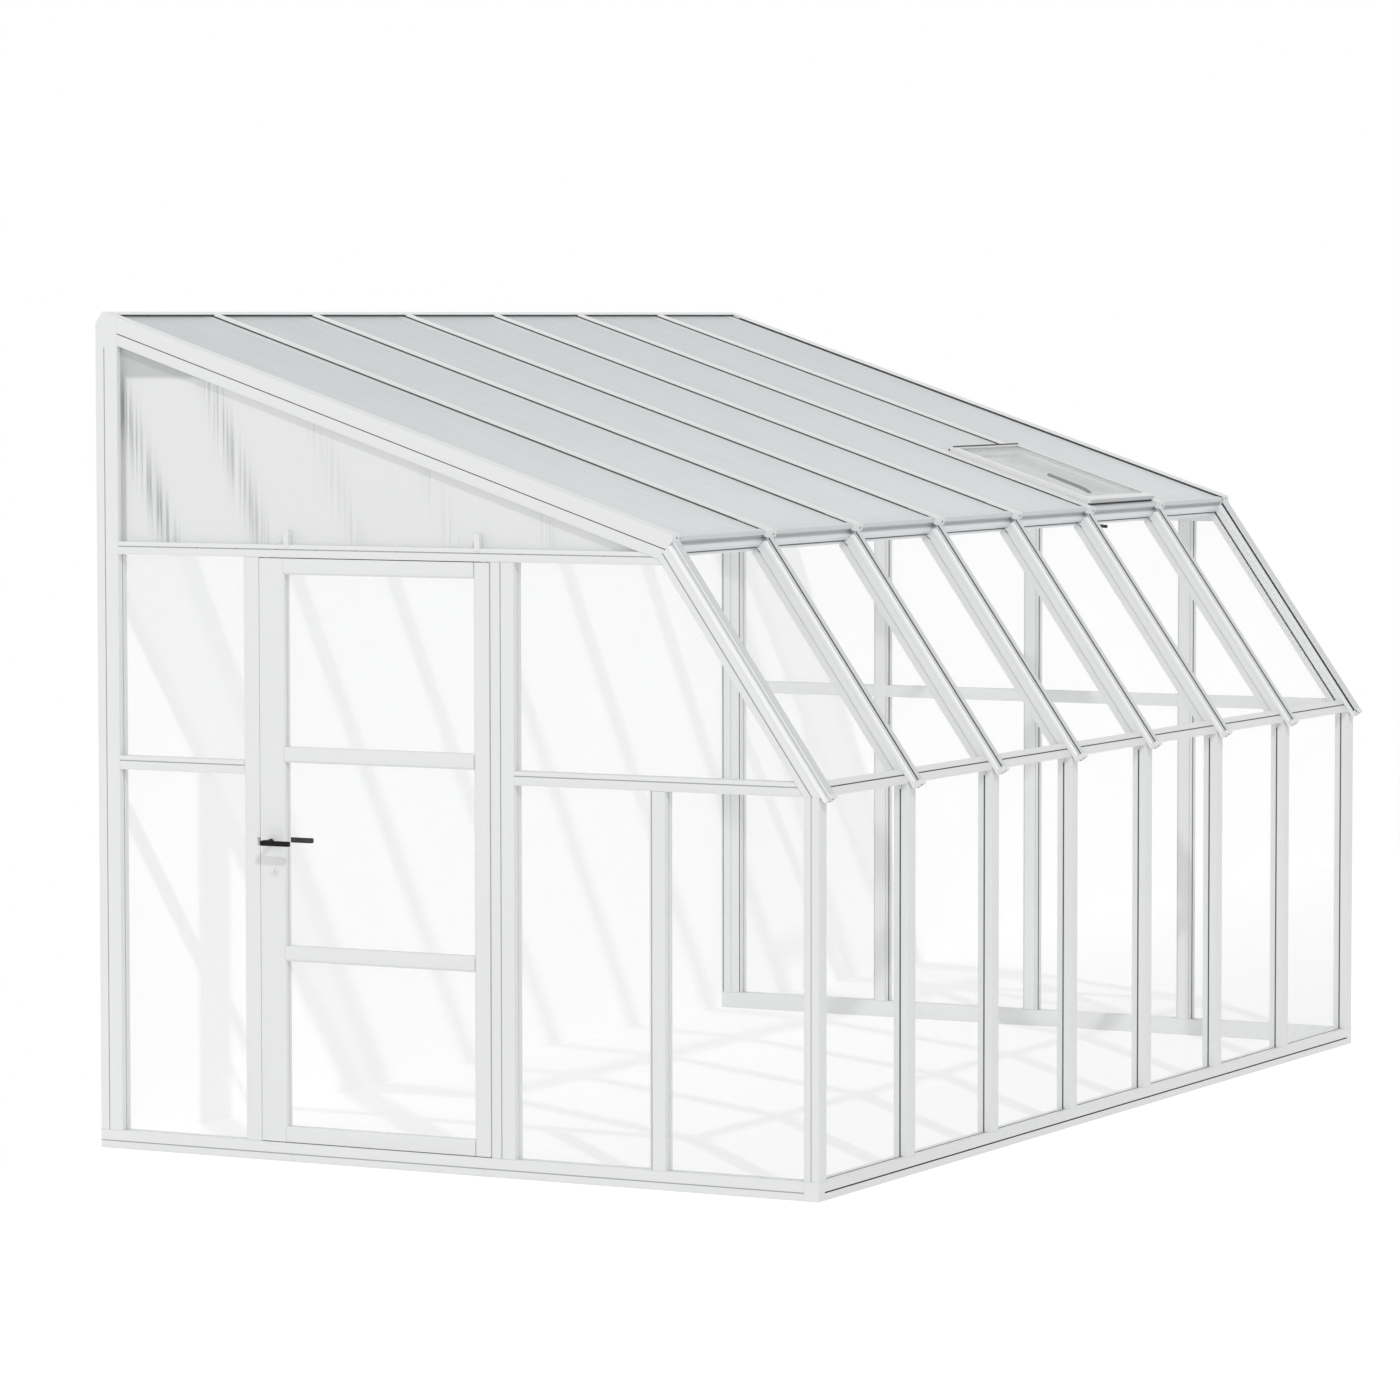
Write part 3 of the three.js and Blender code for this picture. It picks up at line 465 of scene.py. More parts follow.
@dataclass
class Skin:
    """Surfaces gathered into one mesh, in millimetres."""

    points: list[np.ndarray] = field(default_factory=list)
    faces: list[list[int]] = field(default_factory=list)
    paint: list[int] = field(default_factory=list)
    count: int = 0

    def _add(self, points: np.ndarray, faces: list[list[int]], paint: list[int]) -> None:
        """Appends points (n, 3) with faces that number them from 0.

        Args:
            points: The points.
            faces: Point numbers of each face.
            paint: Paint of each face.
        """
        self.points.append(points.reshape(-1, 3))
        self.faces += [[i + self.count for i in face] for face in faces]
        self.paint += paint
        self.count += points.reshape(-1, 3).shape[0]

    def sweep(self, section: Section, plane: Plane, start: EndCut | float,
              end: EndCut | float) -> "Skin":
        """A section carried from one end cut to the other, closed at both ends.

        A side point is the plane's point for section point p at (1 - t)*start + t*end.

        Args:
            section: The outline to carry.
            plane: Where it lies and which way it goes.
            start: The first end, a distance or a cut.
            end: The last end.

        Returns:
            This skin, so that calls can follow each other.
        """
        first = EndCut.square(start) if isinstance(start, (int, float)) else start
        last = EndCut.square(end) if isinstance(end, (int, float)) else end
        outline_points, paint = section.points, section.paint
        if plane.handed < 0:
            outline_points = outline_points[::-1]
            paint = np.roll(paint[::-1], -1)
        b = outline_points[:, 1]
        rings = np.stack([plane.at(outline_points, first.at(b)),
                          plane.at(outline_points, last.at(b))])
        n = len(b)
        i = np.arange(n)
        j = (i + 1) % n
        sides = np.stack([i, j, j + n, i + n], axis=1).tolist()
        ends = [loop[::-1] for loop in first.loops(b)]
        ends += [[k + n for k in loop] for loop in last.loops(b)]
        self._add(rings, sides + ends, paint.tolist() + [int(Paint.PROFILE)] * len(ends))
        return self

    def surface(self, grid: np.ndarray, paint: Paint = Paint.PROFILE, poles: bool = True) -> "Skin":
        """A grid (m, n, 3) of rings, closed round each ring, with its two ends closed.

        Args:
            grid: Rings of points, turning anticlockwise seen from the last ring.
            paint: Paint of the whole surface.
            poles: Close the first and last ring with a face.

        Returns:
            This skin.
        """
        m, n = grid.shape[:2]
        k, i = np.meshgrid(np.arange(m - 1), np.arange(n), indexing="ij")
        j = (i + 1) % n
        quads = np.stack([k * n + i, k * n + j, (k + 1) * n + j, (k + 1) * n + i], -1)
        faces = quads.reshape(-1, 4).tolist()
        if poles:
            faces += [list(range(n - 1, -1, -1)), list(range((m - 1) * n, m * n))]
        self._add(grid, faces, [int(paint)] * len(faces))
        return self

    def ring(self, section: Section, plane: Plane, low: Pair,
             high: Pair, widths: tuple[float, float, float, float]) -> "Skin":
        """A section carried round a rectangle with mitred corners.

        Section a is the share of the rail's width in from the rectangle's edge, and b the
        height over the plane. A corner's point is (corner + a*width inwards on both axes, b).

        Args:
            section: Outline of the frame's rail.
            plane: a and along are the rectangle's axes, b is its height.
            low: Lowest (a, along) corner.
            high: Highest (a, along) corner.
            widths: Rail width on the low and high side of a, then of along.

        Returns:
            This skin.
        """
        inset, height = section.points[:, 0], section.points[:, 1]
        signs = np.array([[1, 1], [-1, 1], [-1, -1], [1, -1]], float)
        corner = np.array([[low[0], low[1]], [high[0], low[1]], [high[0], high[1]],
                           [low[0], high[1]]])
        left, right, foot, head = widths
        width = np.array([[left, foot], [right, foot], [right, head], [left, head]])
        flat = corner[:, None] + (signs * width)[:, None] * inset[None, :, None]
        across = np.stack([flat[..., 0], np.broadcast_to(height, flat.shape[:2])], -1)
        grid = plane.at(across, flat[..., 1])
        m, n = grid.shape[:2]
        k, i = np.meshgrid(np.arange(m), np.arange(n), indexing="ij")
        k1, i1 = (k + 1) % m, (i + 1) % n
        quads = np.stack([k * n + i, k1 * n + i, k1 * n + i1, k * n + i1], -1).reshape(-1, 4)
        self._add(grid, quads[:, ::-1].tolist(), np.tile(section.paint, m).tolist())
        return self

    def screw(self, place: Triple, out: Triple,
              radius: float = 5.0, rise: float = 2.4, paint: Paint = Paint.SCREW) -> "Skin":
        """A pan head screw: a low dome with a step down inside a third of its radius.

        Args:
            place: Middle of the head on the face.
            out: Direction out of the face.
            radius: Head radius.
            rise: Head height.
            paint: Paint of the head.

        Returns:
            This skin.
        """
        share = np.array([1.0, 1.0, 0.88, 0.6, 0.34, 0.3])
        height = np.array([-0.6, 0.0, 0.6, 0.95, 1.0, 0.35])
        top = np.array(place, float) + rise * np.array(out, float) / np.linalg.norm(out)
        return self.round_bar(place, top, share * radius, height, paint, 10)

    def rod(self, path: np.ndarray, width: float, height: float, across: Triple,
            power: float = 4.0, tip: float = 0.4, paint: Paint = Paint.PROFILE,
            sides: int = 20) -> "Skin":
        """A soft cornered bar along a path.

        Its section is the superellipse |p/w|^n + |q/h|^n = 1. Near each end it shrinks to the
        tip share as tip + (1 - tip)*sqrt(1 - t^2), so that the ends are rounded.

        Args:
            path: Points (k, 3) along the middle.
            width: Full width, along the across direction.
            height: Full height, square to it.
            across: Direction of the width.
            power: Power of the superellipse.
            tip: Share of the section that is left at the very end.
            paint: Paint of the bar.
            sides: Points round the section.

        Returns:
            This skin.
        """
        reach = min(width, height) / 2
        step = np.diff(path, axis=0)
        run = np.concatenate([[0], np.cumsum(np.linalg.norm(step, axis=1))])
        total = run[-1]
        near = reach * np.array([0.0, 0.08, 0.3, 0.6, 1.0])
        places = np.concatenate([near, np.linspace(reach, total - reach, len(path) + 2)[1:-1],
                                 total - near[::-1]])
        end = np.clip(np.minimum(places, total - places) / reach, 0, 1)
        shrink = tip + (1 - tip) * np.sqrt(1 - (1 - end) ** 2)
        middle = np.stack([np.interp(places, run, path[:, c]) for c in range(3)], 1)
        along = np.gradient(middle, axis=0)
        along /= np.linalg.norm(along, axis=1)[:, None]
        u = np.array(across, float)[None] - along * (along @ np.array(across, float))[:, None]
        u /= np.linalg.norm(u, axis=1)[:, None]
        v = np.cross(along, u)
        turn = np.linspace(0, 2 * np.pi, sides, endpoint=False)
        c, s = np.cos(turn), np.sin(turn)
        p = np.sign(c) * np.abs(c) ** (2 / power) * width / 2
        q = np.sign(s) * np.abs(s) ** (2 / power) * height / 2
        grid = (middle[:, None] + shrink[:, None, None]
                * (p[None, :, None] * u[:, None] + q[None, :, None] * v[:, None]))
        return self.surface(grid, paint)

    def round_bar(self, start: Triple, end: Triple,
                  radii: list[float], stations: list[float], paint: Paint = Paint.PROFILE,
                  sides: int = 24) -> "Skin":
        """A turned shape about a line.

        A point lies at start + s*(end - start) + r*(u*cos(angle) + v*sin(angle)), with u and v
        square to the line.

        Args:
            start: Where s is 0.
            end: Where s is 1.
            radii: Radius r at each station.
            stations: The stations s.
            paint: Paint of the whole shape.
            sides: Points round it.

        Returns:
            This skin.
        """
        a, b = np.array(start, float), np.array(end, float)
        axis = (b - a) / np.linalg.norm(b - a)
        helper = np.array([0.0, 0.0, 1.0]) if abs(axis[2]) < 0.9 else np.array([1.0, 0.0, 0.0])
        u = np.cross(helper, axis)
        u /= np.linalg.norm(u)
        v = np.cross(axis, u)
        turn = np.linspace(0, 2 * np.pi, sides, endpoint=False)
        round_ = np.cos(turn)[:, None] * u + np.sin(turn)[:, None] * v
        middle = a + np.array(stations)[:, None] * (b - a)
        grid = middle[:, None] + np.array(radii)[:, None, None] * round_[None]
        return self.surface(grid, paint)

    def build(self, name: str, materials: list[Material], body: str, slot: str,
              replaces: tuple[str, ...] = (), crease: float = 32.0) -> bpy.types.Object:
        """Writes the mesh, gives it its materials and ties it to its body.

        Args:
            name: Name of the piece.
            materials: One material for each paint.
            body: The body it moves with.
            slot: The record's material slot; not used.
            replaces: CAD nodes that it stands for.
            crease: Edges that bend more than this many degrees stay sharp.

        Returns:
            The piece.
        """
        used = sorted(set(self.paint))
        index = np.zeros(max(used) + 1, int)
        index[used] = np.arange(len(used))
        points = (np.concatenate(self.points) + FRAME_SHIFT) * METRE
        mesh = bpy.data.meshes.new(name)
        mesh.from_pydata(points.tolist(), [], self.faces)
        for paint in used:
            mesh.materials.append(materials[paint])
        mesh.polygons.foreach_set("material_index", index[np.array(self.paint)])
        mesh.polygons.foreach_set("use_smooth", np.ones(len(self.faces), bool))
        mesh.set_sharp_from_angle(angle=math.radians(crease))
        mesh.update()
        piece = add_object(name, mesh)
        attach(piece, body)
        if replaces:
            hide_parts(*replaces)
        log.info("%s: %d faces, rides on %s", name, len(self.faces), body)
        return piece

    def profile(self, node: str, materials: list[Material], slot: str = "white_frame",
                crease: float = 32.0) -> bpy.types.Object:
        """Builds a fixed member of the frame, which stands for one CAD node."""
        return self.build(f"{node}_profile", materials, "structure", slot, (node,), crease)


# Finishes
class Graph:
    """A short way to add nodes to a tree and join them."""

    def __init__(self, tree: Tree) -> None:
        """Keeps the tree."""
        self.tree = tree

    def node(self, kind: str, inputs: dict | None = None, **settings: object) -> Node:
        """Adds a node.

        Args:
            kind: Blender's name of the node type.
            inputs: Socket values or the sockets to join to them.
            settings: Properties of the node.

        Returns:
            The node.
        """
        made = self.tree.nodes.new(kind)
        for key, value in settings.items():
            setattr(made, key, value)
        self.feed(made, inputs or {})
        return made

    def feed(self, node: Node, inputs: dict) -> None:
        """Sets each named input of a node to its value, or joins it to its socket.

        Args:
            node: The node.
            inputs: A value or socket for each input.
        """
        for key, value in inputs.items():
            if isinstance(value, Socket):
                self.tree.links.new(value, node.inputs[key])
            else:
                node.inputs[key].default_value = value

    def math(self, operation: str, *values: object) -> Socket:
        """A Math node's result for two or three values or sockets."""
        return self.node("ShaderNodeMath", dict(enumerate(values)), operation=operation).outputs[0]

    def mix(self, share: object, first: object, second: object) -> Socket:
        """A colour mixed from two by a share."""
        made = self.node("ShaderNodeMix", {0: share, 6: first, 7: second}, data_type="RGBA")
        return made.outputs[2]

    def spread(self, value: object, low: float, high: float, start: float = 0.0) -> Socket:
        """A value carried from low..high to start..1, and held at both ends."""
        return self.node("ShaderNodeMapRange", {"Value": value, "From Min": low, "From Max": high,
                                                "To Min": start}).outputs[0]

    def object_place(self) -> Socket:
        """Object coordinates."""
        return self.node("ShaderNodeTexCoord").outputs["Object"]


def new_material(name: str) -> tuple[Material, Graph, Node]:
    """Starts a material, and hands over its graph and its Principled shader with it.

    Args:
        name: Name of the material.

    Returns:
        The material, its graph, its shader.
    """
    material = bpy.data.materials.new(name)
    material.use_nodes = True
    return material, Graph(material.node_tree), material.node_tree.nodes["Principled BSDF"]


def cleared(owner: Material | bpy.types.World) -> Graph:
    """The graph of a material or world, emptied of the nodes that it starts with.

    Args:
        owner: The material or world.

    Returns:
        Its graph.
    """
    owner.use_nodes = True
    owner.node_tree.nodes.clear()
    return Graph(owner.node_tree)


def new_group(name: str, numbers: dict[str, float], outputs: tuple[str, ...],
              color: bool = False) -> tuple[Graph, Node, Node]:
    """Starts a shader node group with named sockets.

    Args:
        name: Name of the group.
        numbers: Number inputs and their defaults.
        outputs: Number outputs.
        color: Takes a Color and puts one out as well.

    Returns:
        The group's graph, the node that holds its inputs and the one that takes its outputs.
    """
    tree = bpy.data.node_groups.new(name, "ShaderNodeTree")
    if color:
        for way in ("INPUT", "OUTPUT"):
            tree.interface.new_socket("Color", in_out=way, socket_type="NodeSocketColor")
    for key, value in numbers.items():
        made = tree.interface.new_socket(key, in_out="INPUT", socket_type="NodeSocketFloat")
        made.default_value = value
    for key in outputs:
        tree.interface.new_socket(key, in_out="OUTPUT", socket_type="NodeSocketFloat")
    graph = Graph(tree)
    return graph, graph.node("NodeGroupInput"), graph.node("NodeGroupOutput")


def tone_group() -> Tree:
    """Slow unevenness of colour and a fine grain of sheen, by place on the piece.

    Returns:
        The group, from Color to Color, Roughness and Grain.
    """
    g, source, sink = new_group("uneven_tone", {"Spread": 0.04, "Scale": 3.0, "Roughness": 0.4},
                                ("Roughness", "Grain"), color=True)
    into, place = source.outputs, g.object_place()
    slow = g.node("ShaderNodeTexNoise", {"Vector": place, "Scale": into["Scale"], "Detail": 3.0})
    fine = g.node("ShaderNodeTexNoise", {"Vector": place, "Scale": 260.0, "Detail": 2.0})
    swing = g.math("MULTIPLY", g.math("SUBTRACT", slow.outputs["Fac"], 0.5), into["Spread"])
    level = g.math("ADD", g.math("MULTIPLY", swing, 2.0), 1.0)
    grey = g.node("ShaderNodeCombineColor", {0: level, 1: level, 2: level}).outputs[0]
    product = g.node("ShaderNodeMix", {0: 1.0, 6: into["Color"], 7: grey}, data_type="RGBA",
                     blend_type="MULTIPLY")
    sheen = g.math("MULTIPLY", g.math("SUBTRACT", fine.outputs["Fac"], 0.5), 0.12)
    g.feed(sink, {"Color": product.outputs[2], "Grain": fine.outputs["Fac"],
                  "Roughness": g.math("ADD", into["Roughness"], sheen)})
    return g.tree


def rib_group() -> Tree:
    """Walls inside a twin-wall sheet, seen as fine lines with slow broad streaks.

    The line mask is a raised cosine of the place across the sheet, and the streak mask is
    noise drawn out along it.

    Returns:
        The group, from Across and Along to Line and Streak.
    """
    g, source, sink = new_group(
        "sheet_ribs", {"Across": 0.0, "Along": 0.0, "Pitch": 0.016, "Stretch": 0.12},
        ("Line", "Streak"))
    into = source.outputs
    phase = g.math("MULTIPLY", g.math("DIVIDE", into["Across"], into["Pitch"]), 2 * math.pi)
    wave = g.math("ADD", g.math("MULTIPLY", g.math("COSINE", phase), 0.5), 0.5)
    place = g.node("ShaderNodeCombineXYZ", {
        0: g.math("MULTIPLY", into["Across"], 26.0),
        1: g.math("MULTIPLY", g.math("MULTIPLY", into["Along"], into["Stretch"]), 26.0)}).outputs[0]
    streak = g.node("ShaderNodeTexNoise", {"Vector": place, "Scale": 1.0, "Detail": 4.0,
                                           "Roughness": 0.6})
    g.feed(sink, {"Line": g.math("POWER", wave, 6.0), "Streak": streak.outputs["Fac"]})
    return g.tree


@dataclass(frozen=True)
class SatinFinish:
    """A plain moulded or painted finish with a little unevenness."""

    name: str
    color: Triple
    roughness: float = 0.4
    metallic: float = 0.0
    spread: float = 0.02
    scale: float = 3.0
    bump: float = 0.02
    specular: float = 0.5

    def build(self, tone: Tree) -> Material:
        """Makes the material round the shared tone group.

        Args:
            tone: The tone group.

        Returns:
            The material.
        """
        material, g, shader = new_material(self.name)
        uneven = g.node("ShaderNodeGroup", {
            "Color": (*self.color, 1), "Spread": self.spread, "Scale": self.scale,
            "Roughness": self.roughness}, node_tree=tone).outputs
        bump = g.node("ShaderNodeBump", {"Height": uneven["Grain"], "Strength": self.bump,
                                         "Distance": 0.0004})
        g.feed(shader, {"Base Color": uneven["Color"], "Roughness": uneven["Roughness"],
                        "Metallic": self.metallic, "Specular IOR Level": self.specular,
                        "Normal": bump.outputs["Normal"]})
        return material


@dataclass(frozen=True)
class ClearSheet:
    """A clear pane: a thin grey cast with faint wiping streaks and a gloss."""

    name: str = "clear_sheet"
    color: Triple = (0.78, 0.80, 0.80)
    roughness: float = 0.08
    cover: float = 0.032
    streak: float = 0.016

    def build(self, tone: Tree) -> Material:
        """Makes the material. Cover is the share that the pane hides.

        Args:
            tone: The tone group.

        Returns:
            The material.
        """
        material, g, shader = new_material(self.name)
        uneven = g.node("ShaderNodeGroup", {"Color": (*self.color, 1), "Spread": 0.05,
                                            "Scale": 1.2, "Roughness": self.roughness},
                        node_tree=tone).outputs
        wipe = g.node("ShaderNodeTexNoise", {"Vector": g.object_place(), "Scale": 1.6,
                                             "Detail": 2.0})
        swing = g.math("MULTIPLY", g.math("SUBTRACT", wipe.outputs["Fac"], 0.5), self.streak)
        g.feed(shader, {"Base Color": uneven["Color"], "Roughness": uneven["Roughness"],
                        "Alpha": g.math("ADD", swing, self.cover), "IOR": 1.5})
        return material


@dataclass(frozen=True)
class TwinWallSheet:
    """What the translucent twin-wall sheets share: a light and a dark colour, and cover.

    Cover is the share that the sheet hides, and passing the share of it that shadow rays and
    diffuse rays are let off.
    """

    name: str
    light: Triple
    dark: Triple
    cover: float = 0.86
    passing: float = 0.8
    roughness: float = 0.38
    pitch: float = LAYOUT.pitch * METRE

    def start(self) -> tuple[Material, Graph, Node, list]:
        """The material, its graph, its shader and the object's x, y and z."""
        material, g, shader = new_material(self.name)
        return material, g, shader, g.node("ShaderNodeSeparateXYZ", {0: g.object_place()}).outputs[:3]

    def finish(self, g: Graph, shader: Node, shade: Socket, line: Socket) -> None:
        """Feeds the shader.

        Args:
            g: The material's graph.
            shader: Its shader.
            shade: How dark the sheet is, from 0 to 1.
            line: Mask of the ribs.
        """
        level = g.node("ShaderNodeClamp", {"Value": shade}).outputs[0]
        path = g.node("ShaderNodeLightPath").outputs
        let_off = g.math("MAXIMUM", path["Is Shadow Ray"], path["Is Diffuse Ray"])
        held = g.math("SUBTRACT", 1.0, g.math("MULTIPLY", let_off, self.passing))
        bump = g.node("ShaderNodeBump", {"Height": line, "Strength": 0.12, "Distance": 0.0005})
        g.feed(shader, {"Base Color": g.mix(level, (*self.light, 1), (*self.dark, 1)),
                        "Alpha": g.math("MULTIPLY", held, self.cover), "IOR": 1.45,
                        "Roughness": self.roughness, "Normal": bump.outputs["Normal"]})


@dataclass(frozen=True)
class RoofSheet(TwinWallSheet):
    """A roof sheet, greyer towards the ridge, with painted light in a paler band beside each bar."""

    streak: float = 0.45
    rib: float = 0.10
    rise: float = 0.42
    edge: float = 0.55
    ends: Pair = (-0.75, 1.27)
    first: float = (LAYOUT.bar(0) + FRAME_SHIFT[0]) * METRE
    band: Pair = (0.85, 0.895)

    def build(self, ribs: Tree) -> Material:
        """Makes the material: light mixed to dark by streaks, ribs and the rise, and lightened by the
        painted light of a band beside each bar.

        Args:
            ribs: The rib group.

        Returns:
            The material.
        """
        material, g, shader, (across, along, _) = self.start()
        lines = g.node("ShaderNodeGroup", {"Across": across, "Along": along},
                       node_tree=ribs).outputs
        bay = g.math("FRACT", g.math("DIVIDE", g.math("SUBTRACT", across, self.first),
                                     self.pitch))
        shade = g.math("MULTIPLY", g.math("SUBTRACT", lines["Streak"], 0.40), self.streak)
        shade = g.math("ADD", shade, g.math("MULTIPLY", lines["Line"], self.rib))
        shade = g.math("ADD", shade, g.math("MULTIPLY", g.spread(along, *self.ends), self.rise))
        # Painted light: a paler band on the sheet beside each bar.
        shade = g.math("SUBTRACT", shade, g.math("MULTIPLY", g.spread(bay, *self.band), self.edge))
        self.finish(g, shader, shade, lines["Line"])
        return material


@dataclass(frozen=True)
class GableSheet(TwinWallSheet):
    """A gable sheet with painted shadows: slanting bands, the shadows of the roof bars on a wall
    behind it, which its upright ribs break into fine lines.

    The bands lie where the fractional part of (y - lean*z - first)/pitch is near 0, and they
    fade towards the front. A plain darker zone of painted shade lies in the corner under the roof.
    """

    name: str = "gable_sheet"
    light: Triple = (0.80, 0.805, 0.805)
    dark: Triple = (0.26, 0.27, 0.28)
    cover: float = 0.88
    passing: float = 0.5
    roughness: float = 0.4
    pitch: float = 0.352
    lean: float = 0.398
    first: float = 0.269
    sharpness: float = 7.0
    strength: float = 1.1
    fade: Pair = (-0.75, 0.25)
    line_scale: float = 95.0
    line_stretch: float = 1.6
    corner: Pair = (2.484, 2.498)
    corner_side: Pair = (1.212, 1.222)
    corner_shade: float = 0.44
    rib: float = 0.05

    def build(self, ribs: Tree) -> Material:
        """Makes the material: light mixed to dark by the painted shadow bands, the painted shade of
        the corner and the ribs.

        Args:
            ribs: The rib group.

        Returns:
            The material.
        """
        material, g, shader, (_, across, height) = self.start()
        lines = g.node("ShaderNodeGroup", {"Across": across, "Along": height, "Pitch": 0.011},
                       node_tree=ribs).outputs
        # Painted shadow: slanting bands, the shadows of the roof bars, broken into fine lines.
        slant = g.math("SUBTRACT", g.math("SUBTRACT", across,
                                          g.math("MULTIPLY", height, self.lean)), self.first)
        turn = g.math("MULTIPLY", slant, 2 * math.pi / self.pitch)
        wave = g.math("ADD", g.math("MULTIPLY", g.math("COSINE", turn), 0.5), 0.5)
        band = g.math("POWER", wave, self.sharpness)
        fine_place = g.node("ShaderNodeCombineXYZ", {
            0: g.math("MULTIPLY", across, self.line_scale),
            1: g.math("MULTIPLY", height, self.line_stretch)}).outputs[0]
        fine = g.node("ShaderNodeTexNoise", {"Vector": fine_place, "Scale": 1.0, "Detail": 3.0})
        stripe = g.spread(fine.outputs["Fac"], 0.42, 0.66)
        near = g.spread(slant, *self.fade, start=0.12)
        shade = g.math("MULTIPLY", g.math("MULTIPLY", band, stripe),
                       g.math("MULTIPLY", near, self.strength))
        # Painted shade: a darker zone in the corner under the roof.
        zone = g.math("MAXIMUM", g.spread(height, *self.corner),
                      g.spread(across, *self.corner_side))
        shade = g.math("ADD", shade, g.math("MULTIPLY", zone, self.corner_shade))
        shade = g.math("ADD", shade, g.math("MULTIPLY", lines["Line"], self.rib))
        self.finish(g, shader, shade, lines["Line"])
        return material


@dataclass
class FinishSet:
    """All finishes of the greenhouse, made once."""

    frame: list[Material] = field(init=False)
    purlin: list[Material] = field(init=False)
    trim: list[Material] = field(init=False)
    black: list[Material] = field(init=False)
    latch: list[Material] = field(init=False)
    clear: Material = field(init=False)
    roof: Material = field(init=False)
    gable: Material = field(init=False)
    vent: Material = field(init=False)

    def __post_init__(self) -> None:
        """Builds the groups and then each material."""
        tone, ribs = tone_group(), rib_group()
        white = SatinFinish("white_profile", (0.79, 0.795, 0.80), 0.36, spread=0.012).build(tone)
        # Black rubber, which also serves as black painted shade in gaps, grooves and corners.
        rubber_and_shade = SatinFinish("gasket_and_painted_shade", (0.045, 0.048, 0.05), 0.6, spread=0.1,
                             scale=30.0).build(tone)
        # Grey painted shade for grooves, joints and shaded faces.
        shade_grey = SatinFinish("painted_shade_grey", (0.55, 0.56, 0.57), 0.5, spread=0.05).build(tone)
        screw = SatinFinish("screw_head", (0.34, 0.35, 0.36), 0.35, metallic=0.6,
                            spread=0.1, scale=60.0).build(tone)
        pale = SatinFinish("purlin_metal", (0.76, 0.78, 0.80), 0.34, metallic=0.1,
                           spread=0.03).build(tone)
        edge = SatinFinish("sheet_edge", (0.66, 0.69, 0.70), 0.4, spread=0.03).build(tone)
        # Grey painted shade for the tops of the bars' raised heads.
        cover = SatinFinish("painted_top_shade", (0.66, 0.67, 0.68), 0.34, spread=0.02).build(tone)
        self.frame = [white, rubber_and_shade, shade_grey, screw, cover]
        self.purlin = [pale, rubber_and_shade, shade_grey, screw, cover]
        self.trim = [edge, rubber_and_shade, shade_grey, screw, cover]
        self.black = [SatinFinish("black_lever", (0.006, 0.006, 0.0065), 0.58, spread=0.1,
                                  scale=40.0, bump=0.08, specular=0.18).build(tone)]
        self.latch = [SatinFinish("latch_steel", (0.55, 0.56, 0.57), 0.3, metallic=0.85,
                                  spread=0.06, scale=50.0).build(tone)]
        self.clear = ClearSheet().build(tone)
        self.roof = RoofSheet("roof_sheet", (0.755, 0.78, 0.785), (0.40, 0.42, 0.44)).build(ribs)
        self.gable = GableSheet().build(ribs)
        self.vent = RoofSheet("vent_sheet", (0.60, 0.62, 0.62), (0.36, 0.38, 0.39), cover=0.27,
                              edge=0.0, rise=0.1).build(ribs)


@dataclass
class SubAssembly:
    """What every sub-assembly has: its finishes, and the layout that it follows."""

    finishes: FinishSet
    layout: Layout = LAYOUT

    @property
    def white(self) -> list[Material]:
        """The finishes of the white frame, one for each paint."""
        return self.finishes.frame


